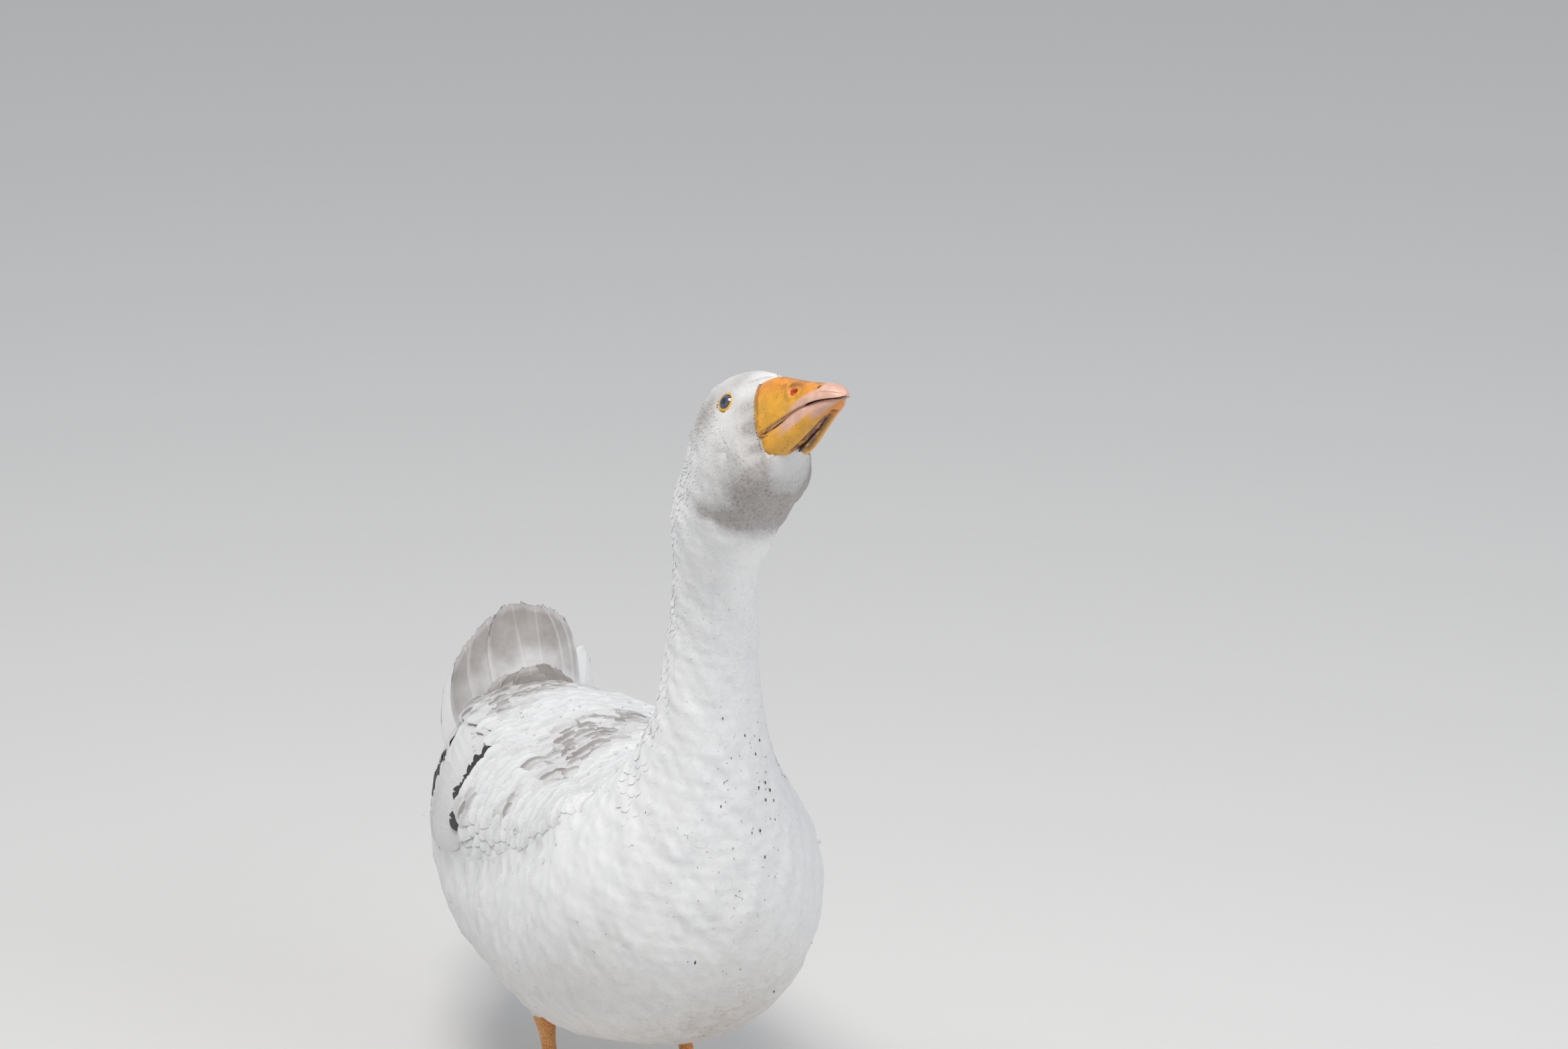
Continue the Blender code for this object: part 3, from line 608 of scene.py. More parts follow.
class Bench:
    """Builds one material from nodes."""

    def __init__(self, name: str) -> None:
        """Starts a material with a Principled shader."""
        self.material = bpy.data.materials.new(name)
        self.material.use_nodes = True
        self.tree = self.material.node_tree

    def fill(self, node: bpy.types.Node, values: dict) -> None:
        """Sets or links a node's sockets.

        Args:
            node: the node to fill.
            values: socket name or number to a number, colour or Wire.
        """
        for name, value in values.items():
            if isinstance(value, Wire):
                self.tree.links.new(value.socket, node.inputs[name])
            else:
                node.inputs[name].default_value = value

    def node(self, kind: str, settings: dict, values: dict) -> bpy.types.Node:
        """Adds any node.

        Args:
            kind: the node's type.
            settings: its own settings, set before its sockets.
            values: socket name or number to a number, colour or Wire.

        Returns:
            The node.
        """
        made = self.tree.nodes.new(kind)
        for name, value in settings.items():
            setattr(made, name, value)
        self.fill(made, values)
        return made

    def add(self, kind: str, settings: dict, values: dict, out: object = 0) -> Wire:
        """Adds any node and gives one of its outputs as a Wire."""
        return Wire(self, self.node(kind, settings, values).outputs[out])

    def mix(self, share: object, first: object, second: object, way: str = "MIX") -> Wire:
        """Mixes two colours."""
        first, second = ((*c, 1.0) if isinstance(c, tuple) else c for c in (first, second))
        return self.add("ShaderNodeMix", {"data_type": "RGBA", "blend_type": way},
                        {0: share, 6: first, 7: second}, 2)

    def shaded(self, base: Wire, share: Wire) -> Wire:
        """A colour times a share of its light."""
        grey = self.add("ShaderNodeCombineColor", {}, {0: share, 1: share, 2: share})
        return self.mix(1.0, base, grey, "MULTIPLY")

    def place(self) -> Wire:
        """Object coordinates, which are metres in the goose's own frame."""
        return self.add("ShaderNodeTexCoord", {}, {}, "Object")

    def noise(self, scale: float, detail: float = 2.0) -> Wire:
        """Soft noise from 0 to 1, with scale features to the metre."""
        return self.add("ShaderNodeTexNoise", {}, {"Vector": self.place(), "Scale": scale,
                                                   "Detail": detail, "Roughness": 0.55})

    def cells(self, scale: float, feature: str = "F1") -> Wire:
        """Distance in a cell pattern with scale cells to the metre."""
        return self.add("ShaderNodeTexVoronoi", {"feature": feature},
                        {"Vector": self.place(), "Scale": scale}, "Distance")

    def parts(self, attribute: str) -> tuple:
        """The three parts of a colour or vector attribute, and its alpha."""
        held = self.node("ShaderNodeAttribute", {"attribute_name": attribute}, {})
        split = self.node("ShaderNodeSeparateXYZ", {}, {0: Wire(self, held.outputs["Vector"])})
        return tuple(Wire(self, s) for s in (*split.outputs, held.outputs["Alpha"]))

    def bump(self, height: Wire, metres: float) -> Wire:
        """A bump whose full height stands for so many metres."""
        return self.add("ShaderNodeBump", {}, {"Height": height, "Distance": metres,
                                               "Strength": 1.0})

    def finish(self, **sockets: object) -> Material:
        """Sets the Principled shader's sockets, named with _ for a space."""
        self.fill(self.tree.nodes["Principled BSDF"],
                  {name.replace("_", " "): (*value, 1.0) if isinstance(value, tuple) else value
                   for name, value in sockets.items()})
        return self.material


class Pattern(Enum):
    """How the grey of a marked feather lies on its vane."""
    WHOLE = "whole"             # over the whole vane
    CRESCENT = "crescent"       # a band before a pale rim
    FAN = "fan"                 # a white foot, grey vane, pale rim and shaft


@dataclass(frozen=True)
class FeatherFinish:
    """Plumage: white vanes with grey markings, dirt and painted shade, fine barbs and a satin
    sheen. Large feathers get painted shade towards their roots, where the next ones overlie them.

    The piece carries two attributes: tone (grey, soil with painted shade, dark, shade) and lay
    (across the vane, along it, its length in metres).
    """
    name: str
    pattern: Pattern = Pattern.WHOLE
    white: Colour = (0.89, 0.885, 0.875)
    shadow: Colour = (0.82, 0.825, 0.84)
    grey: Colour = (0.31, 0.275, 0.26)
    soil_and_shade: Colour = (0.36, 0.3, 0.245)
    black: Colour = (0.022, 0.02, 0.022)
    barb: float = 0.0008        # distance between barbs
    relief: float = 0.00005
    roughness: float = 0.72

    def build(self) -> Material:
        """Makes the material.

        Returns:
            The material.
        """
        b = Bench(self.name)
        grey, soil_and_shade, dark, shade = b.parts("tone")
        across, along, length, _ = b.parts("lay")
        side = across.size()
        mottle, fine = b.noise(55.0, 3.0), b.noise(900.0, 2.0)
        shaft = 1.0 - side.within(0.015, 0.075)
        if self.pattern is Pattern.CRESCENT:
            bow = along + side * side * 0.1
            grey = grey * bow.within(0.35, 0.72) * (1.0 - bow.within(0.92, 1.0) * 0.6)
            grey = grey * (0.35 + mottle * 0.9)
        elif self.pattern is Pattern.FAN:
            rim = side.most(along.within(0.8, 1.0)).within(0.8, 0.97)
            foot = (along + (mottle - 0.5) * 0.2).within(0.26, 0.92)
            grey = grey * foot * (1.0 - rim * 0.25) * (1.0 - shaft * 0.12)
            grey = grey * (0.65 + mottle * 0.4)
        else:
            grey = grey * (0.7 + fine * 0.6) * (1.0 - shaft * 0.3)
        base = b.mix(mottle.within(0.35, 0.75) * 0.5, self.white, self.shadow)
        base = b.mix(grey.within(0.0, 1.0), base, self.grey)
        specks = b.noise(420.0, 3.0).within(0.42, 0.72)
        # soil: dirt, and painted shade on the throat and in the crease under the head
        base = b.mix(soil_and_shade * (0.76 + specks * 0.22), base, self.soil_and_shade)
        base = b.shaded(b.mix(dark.within(0.0, 1.0), base, self.black), shade)
        height = fine * 1.2
        if self.pattern is not Pattern.WHOLE:
            barbs = ((along + side * 0.3) * length * (math.tau / self.barb)).wave()
            height = height + barbs * 0.4 + shaft * 2.0
            # painted shade: darker towards each feather's root, where the feathers above overlie
            # it
            base = b.shaded(base, along.within(0.3, 0.85) * 0.17 + 0.83)
        return b.finish(Base_Color=base, Roughness=self.roughness,
                        Normal=b.bump(height, self.relief), Sheen_Weight=0.12,
                        Sheen_Roughness=0.5)


@dataclass(frozen=True)
class BillFinish:
    """Horn of the bill: orange with pink edges, brown stains, brown painted shade in its hollows,
    specks and fine pores.

    The tone attribute holds pink, brown, red and yellow shares.
    """
    name: str = "bill_horn"
    orange: Colour = (0.84, 0.31, 0.02)
    yellow: Colour = (0.82, 0.42, 0.035)
    pink: Colour = (0.78, 0.47, 0.36)
    brown: Colour = (0.17, 0.055, 0.022)
    red: Colour = (0.55, 0.055, 0.012)

    def build(self) -> Material:
        """Makes the material.

        Returns:
            The material.
        """
        b = Bench(self.name)
        pink, brown, red, yellow = b.parts("tone")
        blotch, fine = b.noise(130.0, 4.0), b.noise(800.0, 3.0)
        base = b.mix(yellow * (0.4 + blotch * 0.9), self.orange, self.yellow)
        base = b.mix(pink.within(0.0, 1.0), base, self.pink)
        # brown: stains, and painted shade in the channel under the lower half and between the
        # comb's plates
        stain_and_shade = brown * (blotch + brown * 0.07).within(0.38, 0.62) * (0.5 + fine * 0.6)
        specks = b.cells(520.0).within(0.3, 0.16) * b.noise(90.0).within(0.46, 0.6)
        base = b.mix(stain_and_shade.most(specks * (1.0 - pink) * 0.85), base, self.brown)
        base = b.mix(red.within(0.15, 0.85), base, self.red)
        height = fine * 0.6 + b.noise(300.0, 2.0)
        return b.finish(Base_Color=base, Roughness=0.34 + fine * 0.16,
                        Normal=b.bump(height, 0.00012), Coat_Weight=0.25, Coat_Roughness=0.25)


@dataclass(frozen=True)
class PlainFinish:
    """One soft surface with two mixed colours and a fine relief."""
    name: str
    first: Colour
    second: Colour
    scale: float
    roughness: float
    relief: float

    def build(self) -> Material:
        """Makes the material.

        Returns:
            The material.
        """
        b = Bench(self.name)
        patch, fine = b.noise(self.scale, 4.0), b.noise(self.scale * 5.0, 2.0)
        base = b.mix(patch.within(0.35, 0.65), self.first, self.second)
        return b.finish(Base_Color=base, Roughness=self.roughness + fine * 0.08,
                        Normal=b.bump(fine + patch, self.relief))


@dataclass(frozen=True)
class EyeFinish:
    """A dark blue-grey eye with a wet surface. Its tone attribute holds rings of it."""
    name: str = "eye_gloss"
    pupil: Colour = (0.01, 0.012, 0.022)
    iris: Colour = (0.04, 0.055, 0.1)
    bloom: Colour = (0.085, 0.105, 0.17)
    edge: Colour = (0.03, 0.026, 0.028)

    def build(self) -> Material:
        """Makes the material: colour by distance from the eye's axis, with radial threads.

        Returns:
            The material.
        """
        b = Bench(self.name)
        ring, turn, _, _ = b.parts("tone")
        threads = (turn * 90.0).wave() * 0.5 + 0.5
        iris = b.mix(threads * 0.5 + b.noise(500.0) * 0.5, self.iris, self.bloom)
        base = b.mix(ring.within(0.36, 0.44), self.pupil, iris)
        base = b.mix(ring.within(0.8, 0.98), base, self.edge)
        return b.finish(Base_Color=base, Roughness=0.06, Coat_Weight=1.0, Coat_Roughness=0.02)


@dataclass(frozen=True)
class LegFinish:
    """Scaly leg skin: orange scales, darker seams, a little dried mud low down."""
    name: str = "leg_skin"
    orange: Colour = (0.78, 0.27, 0.055)
    pale: Colour = (0.84, 0.42, 0.14)
    seam: Colour = (0.34, 0.11, 0.03)
    mud: Colour = (0.16, 0.12, 0.085)
    scales: float = 560.0       # to the metre

    def build(self) -> Material:
        """Makes the material: cells for the scales, seams between them, mud by height.

        Returns:
            The material.
        """
        b = Bench(self.name)
        scales = b.cells(self.scales)
        seams = 1.0 - b.cells(self.scales, "DISTANCE_TO_EDGE").within(0.02, 0.12)
        base = b.mix(b.noise(70.0, 3.0).within(0.35, 0.65), self.orange, self.pale)
        base = b.mix(seams * 0.6, base, self.seam)
        height = b.add("ShaderNodeSeparateXYZ", {}, {0: b.place()}, 2)
        low = 1.0 - height.within(0.001, 0.02)
        mud = low * b.noise(160.0, 4.0).within(0.46, 0.6)
        base = b.mix(mud * 0.8, base, self.mud)
        return b.finish(Base_Color=base, Roughness=0.48 + mud * 0.3,
                        Normal=b.bump((1.0 - scales) - seams * 0.8, 0.00025))


@dataclass(frozen=True)
class WaterFinish:
    """Clear drops of water."""
    name: str = "water"

    def build(self) -> Material:
        """Makes the material."""
        return Bench(self.name).finish(Base_Color=(0.93, 0.95, 0.97), Roughness=0.03,
                                       Transmission_Weight=0.85, IOR=1.33)


# ---- meshes
@dataclass
class Shape:
    """One mesh: points, faces in groups of equal size, and values on its points."""
    points: Array
    faces: list
    tone: Optional[Array] = None        # four values for each point
    lay: Optional[Array] = None         # three values for each point
    bake: Optional[Array] = None        # place on the bake map of each point
    rim: Optional[Array] = None         # true on points whose joining edges stay sharp
    facing: Optional[Array] = None      # outward directions to shade by

    def outward(self) -> "Shape":
        """Turns a closed shape's faces outwards, judged by the volume that they enclose.

        Returns:
            The same shape.
        """
        volume = 0.0
        for group in self.faces:
            corner = self.points[group]
            for k in range(1, group.shape[1] - 1):
                volume += (corner[:, 0] * np.cross(corner[:, k], corner[:, k + 1])).sum()
        if volume < 0.0:
            self.faces = [group[:, ::-1] for group in self.faces]
        return self


def together(shapes: Sequence[Shape]) -> Shape:
    """Several shapes as one, with the values that all of them have.

    Args:
        shapes: the shapes to join.

    Returns:
        One shape.
    """
    starts = np.r_[0, np.cumsum([len(s.points) for s in shapes])]
    tables = zip(*((s.tone, s.lay, s.bake, s.rim, s.facing) for s in shapes))
    return Shape(np.concatenate([s.points for s in shapes]),
                 [f + start for s, start in zip(shapes, starts) for f in s.faces],
                 *(None if any(v is None for v in t) else np.concatenate(t) for t in tables))


def placed(name: str, data: bpy.types.ID) -> bpy.types.Object:
    """Puts an object of some mesh, light or camera in the scene."""
    made = bpy.data.objects.new(name, data)
    bpy.context.scene.collection.objects.link(made)
    return made


def make_piece(name: str, shape: Shape, material: Material) -> bpy.types.Object:
    """Puts a shape into a mesh object that rides on the goose.

    Args:
        name: the piece's name.
        shape: its corners, faces and values.
        material: its finish.

    Returns:
        The object.
    """
    mesh = bpy.data.meshes.new(name)
    sizes = np.concatenate([np.full(len(f), f.shape[1], np.int32) for f in shape.faces])
    loops = np.concatenate([f.ravel() for f in shape.faces]).astype(np.int32)
    starts = np.r_[0, np.cumsum(sizes)[:-1]].astype(np.int32)
    for store, fields in ((mesh.vertices, {"co": shape.points}),
                          (mesh.loops, {"vertex_index": loops}),
                          (mesh.polygons, {"loop_start": starts, "loop_total": sizes,
                                           "use_smooth": np.ones(len(sizes), bool)})):
        store.add(len(next(iter(fields.values()))))
        for key, values in fields.items():
            fill(store, key, values)
    mesh.update(calc_edges=True)
    if shape.tone is not None:
        fill(mesh.attributes.new("tone", "FLOAT_COLOR", "POINT").data, "color", shape.tone)
    if shape.lay is not None:
        fill(mesh.attributes.new("lay", "FLOAT_VECTOR", "POINT").data, "vector", shape.lay)
    if shape.bake is not None:
        fill(mesh.uv_layers.new(name=BAKE_MAP).data, "uv", shape.bake[loops])
    if shape.rim is not None:
        ends = np.zeros(len(mesh.edges) * 2, np.int32)
        mesh.edges.foreach_get("vertices", ends)
        sharp = shape.rim[ends.reshape(-1, 2)].all(1)
        fill(mesh.attributes.new("sharp_edge", "BOOLEAN", "EDGE").data, "value", sharp)
    if shape.facing is not None:
        flat = np.zeros(len(sizes) * 3, np.float32)
        mesh.polygons.foreach_get("normal", flat)
        flat = np.repeat(flat.reshape(-1, 3), sizes, 0)
        facing = shape.facing[loops]
        under = (flat * facing).sum(-1, keepdims=True) < 0.0
        mesh.normals_split_custom_set(np.where(under, -facing, facing))
    mesh.materials.append(material)
    piece = placed(name, mesh)
    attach(piece, ROOT_BODY)
    LOG.info("%-22s %7d triangles", name, (sizes - 2).sum())
    return piece


def fill(store: object, name: str, values: Array) -> None:
    """Writes a table into a mesh's field, decimals in single precision."""
    values = values.astype(np.float32) if values.dtype == float else values
    store.foreach_set(name, values.ravel())


def ring_values(grid: Array) -> Array:
    """Values on a tube's points from a grid of them, with their means at the poles."""
    return np.concatenate([grid.reshape(-1, grid.shape[-1]), grid[:1].mean(1),
                           grid[-1:].mean(1)])


def closed_tube(rings: Array, tone: Optional[Array] = None) -> Shape:
    """A closed tube through a grid of rings, with a pole in the middle of each end ring.

    Args:
        rings: a grid of ring points.
        tone: four values for each point, or for all of them.

    Returns:
        The shape, its faces turned outwards.
    """
    count, sides = rings.shape[:2]
    i, j = np.arange(count - 1)[:, None] * sides, np.arange(sides)
    k, base, pole = (j + 1) % sides, (count - 1) * sides, count * sides
    quads = packed(i + j, i + sides + j, i + sides + k, i + k).reshape(-1, 4)
    ends = np.concatenate([packed(pole, j, k), packed(pole + 1, base + k, base + j)])
    if tone is not None:
        tone = ring_values(np.broadcast_to(tone, (count, sides, 4)))
    return Shape(ring_values(rings), [quads, ends], tone).outward()


def copied(groups: list, count: int, nodes: int) -> list:
    """Faces of many copies of one form whose points follow each other."""
    shift = np.arange(count)[:, None, None] * nodes
    return [(g + shift).reshape(-1, g.shape[1]) for g in groups]


# ---- plumage
@dataclass(frozen=True)
class Vane:
    """The form of one kind of feather, in shares of its length and width."""
    rows: int = 4
    cols: int = 3
    crown: float = 0.09         # rise of the shaft over the rims
    blunt: float = 0.2         # width left at the tip
    stem: float = 0.35          # width at the root
    broad: float = 0.55         # where it is broadest
    ragged: float = 0.16        # how far the tips of its barbs part
    tip: float = 2.4            # higher for a blunter, broader end
    soft: float = 0.3          # share of its own form that shows in its shading
    ply: float = 0.026          # even rise from root to tip, so that each overlies the next
    sink: float = 0.022         # dip of the tip into the next feather, which hides its edge
    steep: float = 9.0          # how early it comes up from its root
    thick: float = 0.0          # a second side this far beneath, in metres; 0 for a flat one

    @property
    def shares(self) -> tuple:
        """Shares along and across of each node, rows first, closer together at the tip."""
        t = 1.0 - (1.0 - np.linspace(0, 1, self.rows)) ** 1.25
        c = np.sin(np.linspace(-0.5, 0.5, self.cols) * math.pi)
        return tuple(g.reshape(1, -1) for g in np.meshgrid(t, c, indexing="ij"))

    def spread(self, t: Array) -> Array:
        """Width along the vane: widens from the stem, then rounds off at the tip."""
        opening = self.stem + (1.0 - self.stem) * ease(t / self.broad)
        beyond = np.maximum((t - self.broad) / (1.0 - self.broad), 0.0)
        closing = np.sqrt(np.maximum(1.0 - beyond**self.tip, 0.0))
        return opening * np.maximum(closing, self.blunt)

    def cut(self, rng: np.random.Generator, count: int, ragged: float, start: float) -> Array:
        """Share by which each node is drawn back, more towards the tip, so the barbs part."""
        cut = np.repeat(rng.uniform(0.0, ragged, (count, 1, self.cols)), self.rows, 1)
        return cut.reshape(count, -1) * ramp(self.shares[0], start, 1.0 - start)

    def faces(self, count: int) -> list:
        """Faces of many such feathers, closed: an arched upper side over a flat lower one.

        Args:
            count: how many feathers.

        Returns:
            Groups of faces as rows of corner numbers.
        """
        r, k = self.rows, self.cols
        nodes = r * k
        i, j = np.arange(r - 1) * k, np.arange(k - 1)
        a = (i[:, None] + j).ravel()
        top = packed(a, a + k, a + k + 1, a + 1)
        if not self.thick:
            under = packed(i, i + k - 1, i + 2 * k - 1, i + k)
            ends = packed(np.arange(k), nodes - 1 - np.arange(k)).T
            return copied([np.concatenate([top, under]), ends], count, nodes)

        def wall(a: Array, b: Array) -> Array:
            """Faces between two nodes above and the two beneath them."""
            return packed(a, b, b + nodes, a + nodes)

        tip = j + nodes - k
        sides = [top, top[:, ::-1] + nodes, np.roll(wall(i + k, i), -1, 1),
                 wall(i + k - 1, i + 2 * k - 1), wall(j, j + 1), wall(tip + 1, tip)]
        return copied([np.concatenate(sides)], count, 2 * nodes)

    def dressed(self, sides: list, tone: Array, length: Array, cells: Array,
                facing: Optional[Array] = None) -> Shape:
        """One shape of many feathers with all their values.

        Args:
            sides: points of the upper side, and of the lower one if they have one.
            tone: four values for each feather or node.
            length: length of each feather in metres.
            cells: corner and size of each one's cell on the bake map.
            facing: outward directions to shade by.

        Returns:
            The shape.
        """
        t, c = self.shares
        n, nodes = sides[0].shape[:2]
        edge = np.abs(c) > 0.999
        rim = edge if self.thick else edge | (t > 0.999) | (t < 0.001)
        inside = packed(CELL_EDGE + (0.5 - CELL_EDGE) * (c + 1.0),
                        CELL_EDGE + (1.0 - 2.0 * CELL_EDGE) * t)
        bake = cells[:, None, :2] + cells[:, None, 2:] * inside
        values = (np.broadcast_to(tone, (n, nodes, 4)), packed(c, t, length), bake,
                  np.broadcast_to(rim, (n, nodes))[..., None], facing)
        tone, lay, bake, rim, facing = (
            None if v is None else np.concatenate([v] * len(sides), 1).reshape(-1, v.shape[-1])
            for v in values)
        return Shape(np.concatenate(sides, 1).reshape(-1, 3), self.faces(n), tone, lay, bake,
                     rim[:, 0], facing)


@dataclass
class Flock:
    """Many feathers rooted on a surface: one value of each field for every feather."""
    along: Array
    around: Array
    length: Array
    width: Array
    root: Array             # height of the root over the surface
    tip: Array              # height of the tip
    sweep: Array            # turn of its lie to the side, in radians
    bend: Array             # sideways curve, in shares of its length
    tone: Array             # grey, soil with painted shade, dark and shade
    cell: Optional[Array] = None    # corner and size on the bake map, or a tuft's patch
    goal: Optional[Array] = None    # places along and round that the tips reach
    rise: Array = 0.0       # how far each feather stands out at its tip


class Ripple:
    """Soft unevenness of the plumage: crossing waves of chance length and direction."""

    def __init__(self, count: int = 26, short: float = 0.008, long: float = 0.03,
                 seed: int = 71) -> None:
        """Draws the waves; they run more often across the body than along it.

        Args:
            count: how many waves.
            short: shortest wave.
            long: longest wave.
            seed: for the chance.
        """
        rng = np.random.default_rng(seed)
        way = unit(rng.normal(size=(count, 3)) * (1.0, 1.0, 0.6))
        reach = rng.uniform(short, long, count)
        self.way = way * (math.tau / reach)[:, None]
        self.start = rng.uniform(0.0, math.tau, count)
        self.share = reach / reach.mean() / math.sqrt(count / 2.0)

    def height(self, points: Array) -> Array:
        """Height of the waves at points, about -1 to 1."""
        return np.sin(points @ self.way.T + self.start) @ self.share

    def slope(self, points: Array) -> Array:
        """Change of the height per metre, as vectors."""
        return (np.cos(points @ self.way.T + self.start) * self.share) @ self.way


RIPPLE = Ripple()


def lay_feathers(surface: Surface, flock: Flock, vane: Vane, seed: int,
                 span: tuple = (0.0, 1.0), uneven: float = 0.0) -> Shape:
    """Lays feathers along a surface from their roots.

    Each node's distance along and across its feather is turned into a step along and
    round the surface by the surface's own slopes, so that the vane follows its curve.
    A feather with a goal has its shaft on the straight line of places to that goal. The
    vane's height rises from root to tip and is highest at its shaft.

    Args:
        surface: what they lie on.
        flock: the feathers.
        vane: their form.
        seed: for the parting of their tips.
        span: the part of the surface that fills the bake map.
        uneven: height of the plumage's soft unevenness, in metres.

    Returns:
        One shape of all of them.
    """
    t, c = vane.shares
    length, width, tip, along, around = (a[:, None] for a in (
        flock.length, flock.width, flock.tip, flock.along, flock.around))
    n = len(length)
    ahead = t * (1.0 - vane.cut(np.random.default_rng(seed), n, vane.ragged, 0.5))
    aside = 0.5 * width * c * vane.spread(t) + flock.bend[:, None] * length * t * t
    if flock.goal is not None:
        step = (flock.goal - np.concatenate([along, around], 1))[:, None]
        along, around = along + step[..., 0] * ahead, around + step[..., 1] * ahead
    slope_u, slope_v, up = (surface.read(a, along, around) for a in (
        surface.slope_along, surface.slope_round, surface.normal))
    if flock.goal is None:
        back, onward = unit(-slope_u), length * ahead
    else:
        back, onward = unit(slope_u * step[..., :1] + slope_v * step[..., 1:]), 0.0 * ahead
    beside = np.cross(up, back)
    cs, sn = (f(flock.sweep)[:, None, None] for f in (np.cos, np.sin))
    lie, wide = back * cs + beside * sn, beside * cs - back * sn
    move = onward[..., None] * lie + aside[..., None] * wide
    on_u, on_v, uu, vv, uv = ((a * b).sum(-1) for a, b in (
        (move, slope_u), (move, slope_v), (slope_u, slope_u), (slope_v, slope_v),
        (slope_u, slope_v)))
    det = uu * vv - uv * uv
    along = np.minimum(along + (on_u * vv - on_v * uv) / det, 1.0)
    around = around + (on_v * uu - on_u * uv) / det
    ply = vane.ply * length + np.reshape(flock.rise, (-1, 1))
    deep = np.maximum(tip - flock.root[:, None] - ply, 0.0)
    height = (tip - ply * (1.0 - t) - deep * (1.0 - t) ** vane.steep
              - vane.sink * length * ramp(t, 0.55, 0.45)
              + vane.crown * width * (1.0 - c * c) * vane.spread(t))
    climb = ply / length + deep / length * vane.steep * (1.0 - t) ** (vane.steep - 1.0)
    normal = surface.read(surface.normal, along, around)
    points = surface.points(along, around, height)
    facing = unit(normal - uneven * RIPPLE.slope(points) + vane.soft * (
        (4.0 * vane.crown * c)[..., None] * wide - np.minimum(climb, 0.6)[..., None] * lie))
    points = points + uneven * RIPPLE.height(points)[..., None] * normal
    if flock.cell is None:
        corner = packed(flock.around % 1.0, (flock.along - span[0]) / (span[1] - span[0]))
        cells = np.c_[BAKE_EDGE + corner * BAKE_SPAN, np.full((n, 2), TUFT_PATCH)]
    else:
        cells = flock.cell
    sides = [points, points - normal * vane.thick] if vane.thick else [points]
    return vane.dressed(sides, flock.tone[:, None], length, cells, facing)


ALONG_SHARE = 0.35      # of a feather's length between two rows
ACROSS_SHARE = 0.52     # of its width between two in a row
BAND_ROWS = 5


def spread_places(surface: Surface, span: tuple, size: Callable, seed: int) -> tuple:
    """Spreads roots evenly over a span of a surface, in offset rows across the lie.

    Rows are counted along each line from end to end of the surface, as its length over
    the row distance, and every second line is half a row behind. The number of lines is
    set anew for each few rows from the girth and the feathers' width.

    Args:
        surface: where they root.
        span: lowest and highest place along it.
        size: gives feather length and width at places along.
        seed: for small shifts of each root.

    Returns:
        Places along and round of all roots.
    """
    rng = np.random.default_rng(seed)
    length, width = size(surface.along)
    row = length * ALONG_SHARE
    count = np.cumsum(surface.speed * np.gradient(surface.along)[:, None] / row[:, None], 0)
    along, around = [], []
    low, high = span
    while high > span[0]:
        i = min(np.searchsorted(surface.along, high), surface.count - 1)
        low = max(high - BAND_ROWS * row[i] / surface.speed[i].mean(), span[0])
        lines = max(int(surface.girth[i] / (width[i] * ACROSS_SHARE)) // 2 * 2, 8)
        v = (np.arange(lines) + rng.uniform()) / lines % 1.0
        band = []
        for k, j in enumerate((v * surface.sides).astype(int) % surface.sides):
            first, last = np.interp([low, high], surface.along, count[:, j])
            behind = 0.5 * (k % 2)
            level = np.arange(math.ceil(first - behind), last - behind)
            band.append(np.interp(level + behind, count[:, j], surface.along))
        shift = (high - low) / BAND_ROWS
        along += [u + shift * rng.uniform(-0.22, 0.22, len(u)) for u in band]
        around += [v[k] + rng.uniform(-0.24, 0.24, len(u)) / lines for k, u in enumerate(band)]
        high = low
    return np.concatenate(along), np.concatenate(around)


